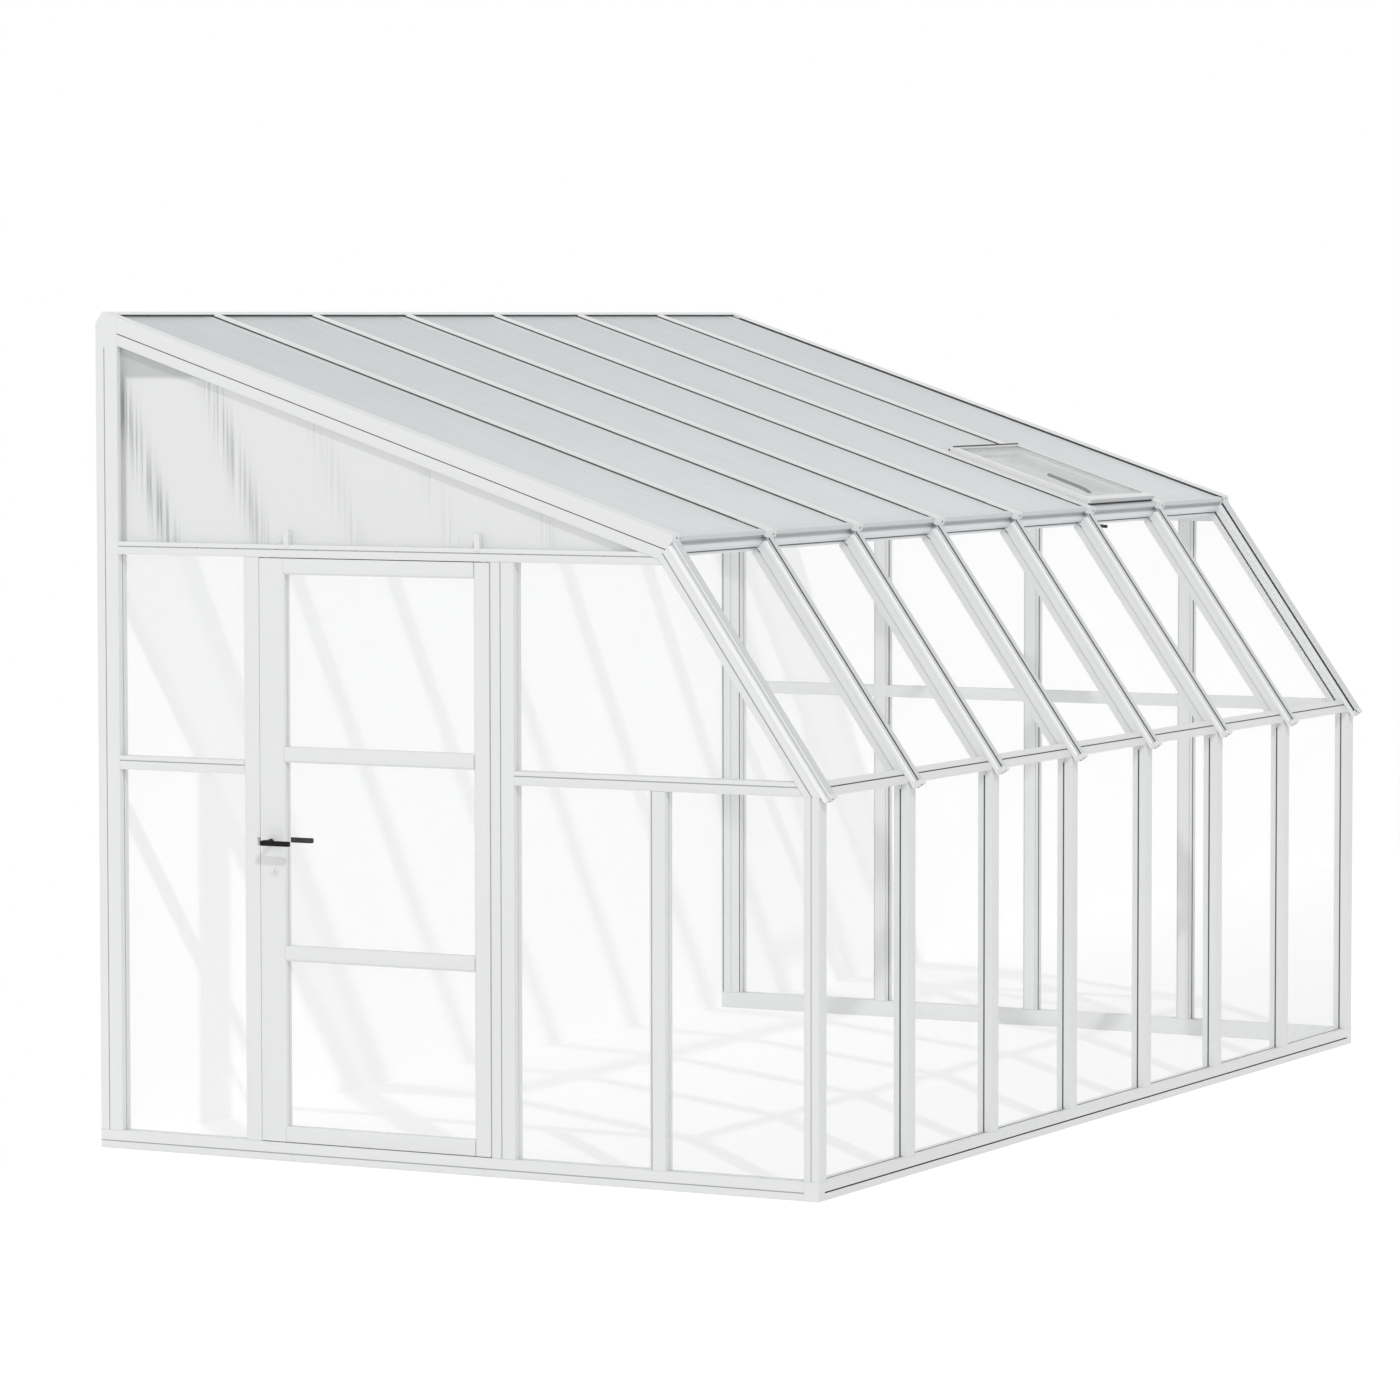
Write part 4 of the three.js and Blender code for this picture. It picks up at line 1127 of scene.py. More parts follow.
# Front wall
@dataclass
class FrontWall(SubAssembly):
    """Front sill, six studs, two corner posts and the eave rail."""

    strip_width: float = 5.0
    strip_place: float = 27.6
    groove_height: float = 25.0
    groove_width: float = 4.5
    plain_end: float = 42.0

    def stud_section(self) -> Section:
        """A stud's section with a gasket strip behind the pane on both sides.

        Returns:
            The section, in (x, y).
        """
        lay = self.layout
        half = lay.bar_width / 2
        strips = (self.strip(1, self.strip_place), self.strip(3, lay.depth - self.strip_place),
                  Recess(2, half, 3.0, 1.6, paint=Paint.PAINTED_SHADE))
        return box_outline(-half, half, lay.front, lay.front + lay.depth, strips, 2.2)

    def strip(self, edge: int, at: float) -> Recess:
        """The gasket strip of a pane, let into one edge."""
        return Recess(edge, at, self.strip_width, 0.6, paint=Paint.GASKET_AND_SHADE)

    def build(self) -> None:
        """Makes every piece of the front."""
        lay = self.layout
        stud = self.stud_section()
        # A black blob of painted shade at the top of each gasket strip, in the corner under the eave
        # rail.
        shade_blob = outline([(-1272.4, 1212.0), (-1268.4, 1222.0), (-1268.4, 1231.4),
                        (-1277.4, 1231.4), (-1277.4, 1222.0)], (), 0.5).painted(Paint.GASKET_AND_SHADE)
        for i, x in enumerate(lay.bars):
            skin = Skin().sweep(stud.moved(x), UPRIGHT, lay.sill + lay.gap,
                                lay.post_top - lay.gap)
            for side in (-1, 1):
                skin.sweep(shade_blob, LENGTHWAYS, x + side * 27.0 - 1.5, x + side * 27.0 + 1.5)
            skin.profile(f"front_stud_{i + 1}", self.white)
        self.build_sill()
        for side in Side:
            self.build_corner(side)
        self.build_eave()

    def build_sill(self) -> None:
        """The front sill, with its drip groove along the face and a screw in each bay."""
        lay = self.layout
        # The drip groove is painted black, as its shade.
        recesses = (Recess(2, lay.middle, *lay.pane_channel, after=3.0),
                    Recess(3, lay.sill - self.groove_height, self.groove_width, 5.0,
                           paint=Paint.GASKET_AND_SHADE))
        section, plain = (box_outline(lay.front, lay.front + lay.depth, 0, lay.sill, cuts, 1.8)
                          for cuts in (recesses, ()))
        end = lay.half_length
        skin = Skin().sweep(section, LENGTHWAYS, -end + self.plain_end, end - self.plain_end)
        skin.sweep(plain, LENGTHWAYS, -end, -end + self.plain_end)
        skin.sweep(plain, LENGTHWAYS, end - self.plain_end, end)
        for i in range(lay.bay_count):
            skin.screw((lay.bar(i + 0.5), lay.front, 44), (0, -1, 0), 4.0, 1.6, Paint.PROFILE)
        skin.profile("front_sill", self.white)

    def build_corner(self, side: Side) -> None:
        """A corner post with channels for the front pane and the gable pane.

        Args:
            side: The gable it stands at.
        """
        lay = self.layout
        recesses = (self.strip(1, self.strip_place),
                    Recess(2, lay.bar_width - lay.middle, *lay.pane_channel),
                    Recess(3, lay.middle, 3.2, 1.8, paint=Paint.PAINTED_SHADE))
        section = box_outline(-lay.half_length, -lay.half_length + lay.bar_width, lay.front,
                              lay.corner_inner, recesses, 2.4)
        skin = Skin().sweep(side.place(section), UPRIGHT, lay.sill + lay.gap,
                            lay.post_top - lay.gap)
        skin.profile(side.node("corner_post"), self.white)

    def build_eave(self) -> None:
        """The eave rail, with channels for the front panes and the slope panes."""
        lay = self.layout
        half = lay.slope_half
        high, low = lay.slope(lay.eave_reach, half), lay.slope(lay.eave_reach, -half)
        nose = lay.slope((lay.front - lay.slope(0, half)[0]) / lay.slope_up[0], half)
        recesses = (Recess(0, lay.middle, *lay.pane_channel, before=3.0),
                    Recess(2, half, *lay.pane_channel, after=6.0),
                    Recess(3, 23.0, 4.2, 0.8, paint=Paint.GASKET_AND_SHADE))
        section = outline([(lay.front, lay.post_top), (low[0], lay.post_top), low, high, nose],
                          recesses, 1.6)
        end = lay.half_length - lay.end_bar - lay.gap
        skin = Skin().sweep(section, LENGTHWAYS, -end, end)
        # Black blocks of painted shade on the eave rail, in the corner beside the foot of each bar.
        stop = box_outline(-9.0, 0.0, 8.8, 15.2, (), 1.6).painted(Paint.GASKET_AND_SHADE)
        for x in lay.bars + [lay.bar(lay.bay_count)]:
            skin.sweep(stop.moved(x - 27.4), SLOPE_FACE, 23.0, 25.6)
        skin.profile("eave_rail", self.white)


# Sloped front
@dataclass
class SlopeFront(SubAssembly):
    """Slope bars with a raised rail, the end bars and the knee purlin."""

    head_half: float = 17.5
    lift: float = 8.0
    tail_run: float = -38.4
    cap_end: float = 886.4

    def cap_section(self, half: float) -> Section:
        """The outer part: coved shoulders, a stem and a flat head, with black painted shade on its
        bevels and grey painted shade on its top.

        Args:
            half: Half the width of its foot.

        Returns:
            The section.
        """
        foot, head = self.layout.slope_half + self.layout.gap, self.head_half
        top = self.layout.cap_height
        side = [(half, foot), (half, foot + 1.6), (22.5, 28.3), (19.0, 30.7), (16.8, 32.9),
                (13.4, 37.0), (12.5, 38.4), (12.5, 44.0), (head, 44.0), (head, top - 3.2),
                (head - 3.6, top)]
        corners = side + [(-a, b) for a, b in reversed(side)]
        last = len(corners) - 2
        # Painted shade: black on the head's bevels, grey on its top.
        dark = {9: Paint.GASKET_AND_SHADE, last - 9: Paint.GASKET_AND_SHADE, 10: Paint.TOP_SHADE}
        radius = [0.4, 1.0, 0.5, 0.5, 0.5, 0.5, 0.5, 0.2, 0.5, 0.1, 0.1]
        return outline(corners, (), radius + radius[::-1], dark, steps=1)

    def body_section(self) -> Section:
        """The part between the rails, with a bead painted grey as shade where the panes enter its
        sides.

        Returns:
            The section.
        """
        half, thick = self.layout.bar_width / 2, self.layout.slope_half
        beads = tuple(Recess(edge, thick, 2.6, 0.9, paint=Paint.PAINTED_SHADE) for edge in (1, 3))
        return box_outline(-half, half, -thick, thick + 0.2, beads, 2.5)

    def build(self) -> None:
        """Makes the bars, the end bars and the purlin."""
        lay = self.layout
        cap, body, end = self.cap_section(27.0), self.body_section(), lay.slope_top + self.lift
        for i, x in enumerate(lay.bars):
            skin = Skin().sweep(body.moved(x), SLOPE, lay.eave_reach + lay.gap, end - lay.gap)
            skin.sweep(cap.moved(x), SLOPE, self.tail_run, self.cap_end)
            self.tail(skin, x)
            # A black triangle of painted shade in the corner under the purlin, on each side of the
            # bar.
            for side in (-1, 1):
                corner = [(x + side * 26.5, end + 3), (x + side * 26.5, end - 20),
                          (x + side * 46, end + 3)]
                shade_blob = outline(corner if side > 0 else corner[::-1], (), 0.5)
                skin.sweep(shade_blob.painted(Paint.GASKET_AND_SHADE), SLOPE_FACE, 2.2, 4.4)
            skin.profile(f"slope_bar_{i + 1}", self.white)
        for side in Side:
            self.build_end(side)
        self.build_purlin()

    def tail(self, skin: Skin, x: float) -> None:
        """A moulded end cap over the tail, with two screws.

        Args:
            skin: The bar's skin.
            x: Middle of the bar.
        """
        lay = self.layout
        block = outline([(-20.5, 26.0), (20.5, 26.0), (20.5, 53.0), (-20.5, 53.0)], (), 3.0)
        skin.sweep(block.moved(x), SLOPE, self.tail_run - 1.5, self.tail_run + 13.0)
        down = yz(-lay.slope_up)
        for rise in (31.0, 45.0):
            point = lay.slope(self.tail_run - 1.5, rise)
            skin.screw((x - 2.0, *point), down, 4.2, 2.0)

    def build_end(self, side: Side) -> None:
        """An end bar: its face in the gable, a groove along it and a raised rail.

        Args:
            side: Its gable.
        """
        lay = self.layout
        wide, half, outer = lay.end_bar, lay.slope_half, -lay.half_length
        recesses = (Recess(0, lay.middle, *lay.pane_channel),
                    Recess(1, half, *lay.pane_channel, after=2.2),
                    Recess(3, half + 0.3, 4.0, 3.0, paint=Paint.PAINTED_SHADE))
        body = box_outline(outer, outer + wide, -half, half + 0.2, recesses, [1.5, 1.5, 1.0, 1.0])
        top, foot = lay.cap_height, half + 0.5
        corners = [(outer, foot), (outer + wide, foot), (outer + wide, foot + 1.6),
                   (outer + 44, 36), (outer + 44, 44), (outer + 49, 44), (outer + 49, top),
                   (outer + 7, top), (outer + 5, top - 2.2), (outer + 5, top - 6),
                   (outer + 11, top - 6), (outer + 11, 35), (outer, 25.6)]
        # Painted shade: black on the stem and under the head, grey on the head's top and under the
        # small lip beside the gable face.
        cap = outline(corners, (), [0.4, 0.4, 1.5, 1.2, 0.2, 1.0, 1.6, 0.6, 0.3, 0.6, 0.2, 1.5, 2.5],
                      {3: Paint.GASKET_AND_SHADE, 4: Paint.GASKET_AND_SHADE, 6: Paint.TOP_SHADE, 8: Paint.PAINTED_SHADE,
                       9: Paint.PAINTED_SHADE})
        knee = self.knee_cut()
        level = EndCut.through(-half, (half * lay.slope_up[0] - 3) / lay.slope_up[1],
                               half, (-half * lay.slope_up[0] - 3) / lay.slope_up[1])
        skin = Skin().sweep(side.place(body), SLOPE, level, knee)
        skin.sweep(side.place(cap), SLOPE, self.tail_run, knee)
        self.tail(skin, side.value * (lay.half_length - wide / 2))
        skin.profile(side.node("slope_bar"), self.white)

    def knee_cut(self) -> EndCut:
        """The slanting cut where an end bar meets the roof's end bar.

        Returns:
            The cut, over the bar's section.
        """
        lay = self.layout
        runs, rises = zip(*[coordinates(lay.slope(0, 0), lay.slope_up, point)
                            for point in knee_points(lay)])
        return EndCut.through(rises[0], runs[0] - lay.gap, rises[1], runs[1] - lay.gap)

    def build_purlin(self) -> None:
        """The knee purlin, with a coved face under the roof sheets.

        The cove runs from the top lip to the bottom edge as y = face + 9*(1 - t)^2, with t
        from 0 at the top to 1 at the bottom.
        """
        lay = self.layout
        foot = lay.slope_top + self.lift
        rise = -(lay.purlin_face - lay.front_pane - foot * lay.slope_up[0]) / lay.slope_up[1]
        bottom, inner = lay.slope(foot, rise), lay.slope(foot, -17)
        low, high = lay.roof(18, -62), lay.roof(18, -5.3)
        top_run = (lay.purlin_face - lay.knee_y - 5.3 * lay.roof_up[1]) / lay.roof_up[0]
        top = lay.roof(top_run, -5.3)
        base = outline([bottom, inner, low, high, top],
                       (Recess(0, rise, *lay.pane_channel, before=4.0),), 1.2)
        t = np.linspace(0, 1, 9)
        lip = top[1] - 12.5
        cove = np.stack([lay.purlin_face + 9.0 * (1 - t) ** 2 + 0.4,
                         lip + (bottom[1] + 2.0 - lip) * t], 1)
        start = np.argmin(np.hypot(*(base.points - top).T))
        keep = base.points[:start + 1]
        # The top of the purlin's face, under its lip, carries grey painted shade, the shade under the
        # front edge of the roof sheets.
        points = np.concatenate([keep, [[lay.purlin_face, top[1] - 5.0],
                                        [lay.purlin_face, top[1] - 12.0]], cove])
        paints = np.concatenate([base.paint[:start + 1],
                                 [Paint.PAINTED_SHADE, Paint.PAINTED_SHADE], np.zeros(len(cove))]).astype(int)
        end = lay.half_length - lay.end_bar - lay.gap
        skin = Skin().sweep(Section(points, paints), LENGTHWAYS, -end, end)
        skin.profile("knee_purlin", self.finishes.purlin, "purlin", crease=20.0)


def coordinates(start: np.ndarray, up: np.ndarray, point: np.ndarray) -> Pair:
    """(run, rise) of a gable plane point, up a line from its start and out of it."""
    offset = point - start
    return float(offset @ up), float(offset @ turned(up))


def crossing(p: np.ndarray, d: np.ndarray, q: np.ndarray, e: np.ndarray) -> np.ndarray:
    """Where the line p + s*d meets the line q + t*e in the gable plane."""
    s = ((q[0] - p[0]) * e[1] - (q[1] - p[1]) * e[0]) / (d[0] * e[1] - d[1] * e[0])
    return p + s * d


def plumb(y: float, start: np.ndarray, up: np.ndarray) -> np.ndarray:
    """Where the line from start along up passes the place y."""
    return start + (y - start[0]) / up[0] * up


def inner_knee(lay: Layout, gap: float = 0.0) -> np.ndarray:
    """Where the lower edges of the roof's and the slope's end bars meet, or a gap inside."""
    return crossing(lay.roof(0, -lay.rake - gap), lay.roof_up,
                    lay.slope(0, -lay.slope_half - gap), lay.slope_up)


def knee_points(lay: Layout) -> tuple[np.ndarray, np.ndarray]:
    """The inner and outer ends of the joint between the end bars at the knee."""
    return inner_knee(lay), plumb(lay.purlin_face - lay.nose, lay.slope(0, lay.cap_height),
                                  lay.slope_up)


# Roof
@dataclass
class RoofFrame(SubAssembly):
    """Roof bars, end bars, wall plate and the trim of the sheets."""

    drop: float = 45.0
    edge: float = 9.0
    nose_foot: float = -12.0
    body_start: float = 18.3
    nose: Pair = (-99.5, -85.7)

    def crowned(self, half: float, foot: float, recesses: tuple[Recess, ...] = ()) -> Section:
        """A bar whose top is half an ellipse: rise = edge + (crown - edge)*sin(angle).

        Args:
            half: Half its width.
            foot: Rise of its underside.
            recesses: Channels in its edges.

        Returns:
            The section.
        """
        angle = np.linspace(0, np.pi, 9)
        rise = self.edge + (self.layout.crown - self.edge) * np.sin(angle)
        corners = [(-half, foot), (half, foot)] + list(zip(half * np.cos(angle), rise))
        return outline(corners, recesses, [1.0, 1.0] + [0.0] * len(angle), steps=1)

    def build(self) -> None:
        """Makes the bars, the ends, the plate and the trim."""
        lay = self.layout
        body = self.crowned(27, -self.drop, (
            Recess(1, self.drop, *lay.sheet_channel, after=2.6, rise=0.6),
            Recess(10, self.edge, *lay.sheet_channel, before=2.6, rise=0.6)))
        upper = self.crowned(27, -5.0, (
            Recess(1, 12.2, 0.2, 0.1, before=2.6, rise=0.6),
            Recess(10, self.edge - 7.2, 0.2, 0.1, after=2.6, rise=0.6)))
        nose = self.crowned(27.5, self.nose_foot)
        for i, x in enumerate(lay.bars):
            skin = Skin().sweep(body.moved(x), ROOF, self.body_start, lay.plate_run - lay.gap)
            skin.sweep(upper.moved(x), ROOF, self.nose[1] + 0.1, self.body_start - 0.1)
            skin.sweep(nose.moved(x), ROOF, *self.nose)
            skin.screw((x + 8.0, *lay.roof(self.nose[0], -1.0)), yz(-lay.roof_up), 4.4, 2.0)
            skin.profile(f"roof_bar_{i + 1}", self.white)
        for side in Side:
            self.build_end(side)
        self.build_plate()
        self.build_seals()
        self.build_edge_trim()

    def build_end(self, side: Side) -> None:
        """An end bar: a deep rake board with a groove, and a lip over the sheet's edge.

        Args:
            side: Its gable.
        """
        lay = self.layout
        outer, wide, deep, crown = -lay.half_length, lay.end_bar, -lay.rake, lay.crown
        inner, kneeward = knee_points(lay)
        nose_top = plumb(lay.purlin_face - lay.nose, lay.roof(0, crown), lay.roof_up)
        marks = sorted(coordinates(lay.roof(0, 0), lay.roof_up, point)[::-1]
                       for point in (inner, kneeward, nose_top))
        start = EndCut(*zip(*marks))
        fold = marks[1][0]
        back = lay.post_inner - lay.gap - lay.knee_y
        end = EndCut.through(deep, (back + deep * lay.roof_up[1]) / lay.roof_up[0],
                             crown, (back + crown * lay.roof_up[1]) / lay.roof_up[0])
        corners = [(outer, deep), (outer + wide, deep), (outer + wide, fold),
                   (outer + wide, crown - 2), (outer + wide - 8, crown), (outer, crown),
                   (outer, fold)]
        # The groove along the rake's face is painted black, as its shade.
        recesses = (Recess(0, lay.middle, *lay.sheet_channel),
                    Recess(2, -fold, *lay.sheet_channel, after=5.2),
                    Recess(6, fold + lay.rake / 2 + 0.5, 3.0, 1.4, paint=Paint.GASKET_AND_SHADE))
        section = outline(corners, recesses, [1.5, 1.5, 0, 1.0, 1.0, 2.2, 0])
        skin = Skin().sweep(side.place(section), ROOF, start, end)
        middle = (kneeward + nose_top) / 2
        skin.screw((side.value * (lay.half_length - wide / 2), *middle), (0, -1, 0), 4.4, 2.0)
        skin.profile(side.node("roof_bar"), self.white)

    def build_plate(self) -> None:
        """The wall plate, dark along the joint with the sheets."""
        lay = self.layout
        low, high = lay.roof(lay.plate_run, -62), lay.roof(lay.plate_run, lay.crown)
        top = plumb(lay.wall - lay.plate, lay.roof(0, lay.crown), lay.roof_up)
        joint = Recess(4, lay.crown, *lay.sheet_channel, before=6.4, rise=1.0)
        section = outline([low, (lay.wall, low[1]), (lay.wall, lay.ridge - 34), top, high],
                          (joint,), 1.4)
        end = lay.half_length - lay.depth - lay.gap
        Skin().sweep(section, LENGTHWAYS, -end, end).profile("wall_plate", self.white)

    def build_seals(self) -> None:
        """Gasket strips that lie on the sheets beside every bar."""
        lay = self.layout
        skin = Skin()
        strip = outline([(0, 4.9), (8.5, 4.9), (8.5, 5.6), (6.5, 6.6), (0, 6.6)], (), 0.2,
                        {k: Paint.GASKET_AND_SHADE for k in range(5)}, steps=1)
        for low, high in lay.bays(lay.half_length - lay.end_bar):
            skin.sweep(strip.moved(low + 0.8), ROOF, lay.sheet_start, lay.plate_run - 2)
            skin.sweep(strip.mirrored().moved(high - 0.8), ROOF, lay.sheet_start,
                       lay.plate_run - 2)
        skin.build("roof_seal_strips", self.white, "structure", "white_frame")

    def build_edge_trim(self) -> None:
        """A U shaped closing profile on the front edge of each roof sheet."""
        lay = self.layout
        start = lay.sheet_start
        section = roof_outline([(start - 2.2, -7.4), (start + 19, -7.4), (start + 19, -5.2),
                                (start, -5.2), (start, 5.2), (start + 19, 5.2),
                                (start + 19, 6.6), (start - 2.2, 7.4)], 0.5, steps=1)
        skin = Skin()
        for low, high in lay.bays(lay.half_length - lay.end_bar):
            skin.sweep(section, LENGTHWAYS, low + 1.0, high - 1.0)
        skin.build("roof_sheet_edge_trim", self.finishes.trim, "structure", "white_frame")


# Gables
@dataclass
class Gables(SubAssembly):
    """Sills, posts, studs and rails of both gable ends."""

    rear_stud: Pair = (688.0, 744.0)
    front_stud: Pair = (-241.0, -158.0)
    short_stud: float = -745.0
    head_groove: float = 1950.5
    bare_top: float = 2588.0
    mid_groove: float = 1261.0
    strike: Pair = (1007.0, 1033.0)
    stop: Triple = (-2156.5, -2150.0, 1901.0)
    stop_ends: Pair = (-97.0, 675.7)
    head_screws: Triple = (-560.0, 1200.0, 148.0)
    strap_places: Pair = (585.0, -112.0)

    def build(self) -> None:
        """Makes both gables."""
        for side in Side:
            self.build_sill(side)
            self.build_rear_post(side)
        self.build_door_studs()
        self.build_door_rails()
        self.build_far_frame()
        self.build_brackets()

    def upright(self, y0: float, y1: float, front: bool, back: bool,
                groove: float | None = None, lip: float = 0.0) -> Section:
        """Section of a gable post, with the outer face at the door gable's side.

        Args:
            y0: Front edge.
            y1: Back edge.
            front: Pane channel in the front edge.
            back: Pane channel in the back edge.
            groove: Place of a groove in the outer face.
            lip: Width of the gasket inside the front channel, where it is an open one.

        Returns:
            The section, in (x, y).
        """
        lay = self.layout
        recesses = []
        if front and lip > 0:
            recesses.append(Recess(0, lay.middle, *lay.pane_channel, after=lip))
            recesses += [bead(1, place) for place in (4.0, y1 - y0 - 4.0)]
        elif front:
            recesses.append(bead(0, lay.middle))
        if back:
            recesses.append(Recess(2, lay.middle, *lay.pane_channel))
        return self.edged(y0, y1, recesses, groove)

    def rail(self, z0: float, z1: float, below: bool, above: bool,
             groove: float | None = None) -> Section:
        """Section of a gable rail, in (x, z), with a pane channel below and above.

        Args:
            z0: Underside.
            z1: Top.
            below: Channel in the underside.
            above: Channel in the top.
            groove: Height of a face groove.

        Returns:
            The section.
        """
        lay = self.layout
        recesses = [Recess(edge, lay.middle, *lay.pane_channel)
                    for edge, open_ in ((0, below), (2, above)) if open_]
        return self.edged(z0, z1, recesses, groove)

    def edged(self, low: float, high: float, recesses: list[Recess],
              groove: float | None) -> Section:
        """A member's rectangle in the gable, with its recesses and a groove in its face.

        Args:
            low: Lower edge.
            high: Upper edge.
            recesses: Channels in its edges.
            groove: Place of a face groove.

        Returns:
            The section.
        """
        outer = -self.layout.half_length
        if groove is not None:
            recesses = recesses + [face_groove(3, high - groove)]
        return box_outline(outer, outer + self.layout.depth, low, high, tuple(recesses), 2.0)

    def build_sill(self, side: Side) -> None:
        """A gable sill: open channel only where a pane stands in it.

        Args:
            side: Its gable.
        """
        lay = self.layout
        start = lay.front + lay.depth + lay.gap
        glazed, plain = (side.place(self.rail(0, lay.sill, False, above, lay.middle))
                         for above in (True, False))
        skin = Skin()
        if side is Side.DOOR:
            self.split(skin, glazed, plain, start, lay.wall)
        else:
            skin.sweep(glazed, CROSSWAYS, start, lay.wall)
        skin.profile(side.node("sill"), self.white)

    def split(self, skin: Skin, glazed: Section, plain: Section, start: EndCut | float,
              end: float) -> None:
        """Carries one section beside the door and another across it.

        Args:
            skin: The member's skin.
            glazed: Section beside the door.
            plain: Section across it.
            start: Front end.
            end: Back end.
        """
        low, high = self.front_stud[0] + 20, self.rear_stud[1] - 20
        skin.sweep(glazed, CROSSWAYS, start, low)
        skin.sweep(plain, CROSSWAYS, low, high)
        skin.sweep(glazed, CROSSWAYS, high, end)

    def build_rear_post(self, side: Side) -> None:
        """The post at the house wall, cut to the roof line, with a groove up its face.

        Args:
            side: Its gable.
        """
        lay = self.layout
        outer, inner = -lay.half_length, -lay.half_length + lay.depth
        crest = lay.wall - lay.plate
        corners = [(outer, lay.post_inner), (inner, lay.post_inner), (inner, crest),
                   (inner, lay.wall), (outer, lay.wall), (outer, crest)]
        recesses = (Recess(0, lay.middle, *lay.pane_channel),
                    Recess(1, 4.5, 3.4, 0.8, paint=Paint.GASKET_AND_SHADE), bead(1, 42.0),
                    Recess(2, 22.0, 3.4, 0.8, paint=Paint.GASKET_AND_SHADE), face_groove(5, 5.0))
        grooved, bare = (side.place(outline(corners, cuts, [1.5, 1.5, 0, 1.5, 2.0, 0]))
                         for cuts in (recesses, ()))
        line = [plumb(y, lay.roof(0, lay.crown), lay.roof_up)[1] for y in (lay.post_inner, crest)]
        top = EndCut((lay.post_inner, crest, lay.wall), (*line, lay.ridge - 34))
        skin = Skin().sweep(grooved, UPRIGHT, lay.sill + lay.gap, self.bare_top)
        skin.sweep(bare, UPRIGHT, self.bare_top, top)
        skin.profile(side.node("rear_post"), self.white)

    def build_door_studs(self) -> None:
        """The studs beside the door, and the short one in front of it."""
        lay = self.layout
        y0, y1 = self.rear_stud
        base, top = lay.sill + lay.gap, lay.head - lay.gap
        low, high = self.strike
        whole = self.upright(y0, y1, False, True)
        outer, inner = -lay.half_length, -lay.half_length + lay.depth
        notched = outline([(outer + 29.3, y0), (inner, y0), (inner, y1), (outer, y1),
                           (outer, y0 + 9.4), (outer + 29.3, y0 + 9.4)],
                          (Recess(2, lay.middle, *lay.pane_channel),), 0.6)
        skin = Skin().sweep(whole, UPRIGHT, base, low)
        skin.sweep(notched, UPRIGHT, low, high).sweep(whole, UPRIGHT, high, top)
        stop = box_outline(*self.stop[:2], y0 - 12, y0 + 1, (), 1.2)
        skin.sweep(stop, UPRIGHT, base, self.stop[2])
        for z in (low - 7, high + 7):
            skin.screw((-2185.0, y0, z), (0, -1, 0), 3.0, 0.9)
        skin.profile("rear_door_stud", self.white)
        stud = self.upright(*self.front_stud, True, False, -194.0)
        Skin().sweep(stud, UPRIGHT, base, top).profile("front_door_stud", self.white)
        half = lay.bar_width / 2
        short = self.upright(self.short_stud - half, self.short_stud + half, True, True,
                             self.short_stud + 19)
        Skin().sweep(short, UPRIGHT, base, lay.post_top - lay.gap).profile("short_stud", self.white)

    def slope_end(self, z0: float, z1: float) -> EndCut:
        """Where a rail meets the inner edge of the slope's end bar, over its height.

        Args:
            z0: Underside of the rail.
            z1: Its top.

        Returns:
            The cut.
        """
        lay = self.layout
        edge = lay.slope(0, -lay.slope_half - lay.gap)
        places = [edge[0] + (z - edge[1]) * lay.slope_up[0] / lay.slope_up[1] for z in (z0, z1)]
        return EndCut.through(z0, places[0], z1, places[1])

    def head_start(self) -> EndCut:
        """Where the head rail meets the rake and the slope bar, over its height.

        Returns:
            The cut, folded where the two bars meet.
        """
        lay = self.layout
        cut = self.slope_end(lay.head, lay.head_top)
        knee, rake = inner_knee(lay, lay.gap), lay.roof(0, -lay.rake - lay.gap)
        top = rake[0] + (lay.head_top - rake[1]) * lay.roof_up[0] / lay.roof_up[1]
        return EndCut((lay.head, knee[1], lay.head_top),
                      (cut.at(np.array([lay.head]))[0], knee[0], top))

    def head_section(self, glazed: bool, side: Side) -> Section:
        """The head rail, split at the height where the bars meet.

        Args:
            glazed: A pane stands under it.
            side: Its gable.

        Returns:
            The section, in (x, z).
        """
        lay = self.layout
        outer, inner = -lay.half_length, -lay.half_length + lay.depth
        fold = inner_knee(lay, lay.gap)[1]
        corners = [(outer, lay.head), (inner, lay.head), (inner, fold), (inner, lay.head_top),
                   (outer, lay.head_top), (outer, fold)]
        recesses = [Recess(3, lay.middle, *lay.sheet_channel)]
        if glazed:
            recesses.append(Recess(0, lay.middle, *lay.pane_channel))
        edge, start = (4, lay.head_top) if fold < self.head_groove - 5 else (5, fold)
        recesses.append(face_groove(edge, start - self.head_groove))
        return side.place(outline(corners, tuple(recesses), [1.5, 1.5, 0, 1.5, 1.5, 0]))

    def mid_rail(self) -> Section:
        """A rail between two panes."""
        return self.rail(self.layout.post_top, self.layout.rail_top, True, True, self.mid_groove)

    def build_door_rails(self) -> None:
        """Middle rails, and the head rail with its stop over the door."""
        lay = self.layout
        middle = self.mid_rail()
        Skin().sweep(middle, CROSSWAYS, self.rear_stud[1] + lay.gap,
                     lay.post_inner - lay.gap).profile("rear_mid_rail", self.white)
        Skin().sweep(middle, CROSSWAYS, self.slope_end(lay.post_top, lay.rail_top),
                     self.front_stud[0] - lay.gap).profile("front_mid_rail", self.white)
        skin = Skin()
        self.split(skin, self.head_section(True, Side.DOOR), self.head_section(False, Side.DOOR),
                   self.head_start(), lay.post_inner - lay.gap)
        stop = box_outline(*self.stop, lay.head + 1, (), 1.2)
        skin.sweep(stop, CROSSWAYS, *self.stop_ends)
        for y in np.arange(*self.head_screws):
            skin.screw((-2197.6, y, self.head_groove), (-1, 0, 0), 2.6, 1.2)
        skin.profile("door_gable_top_rail", self.white)

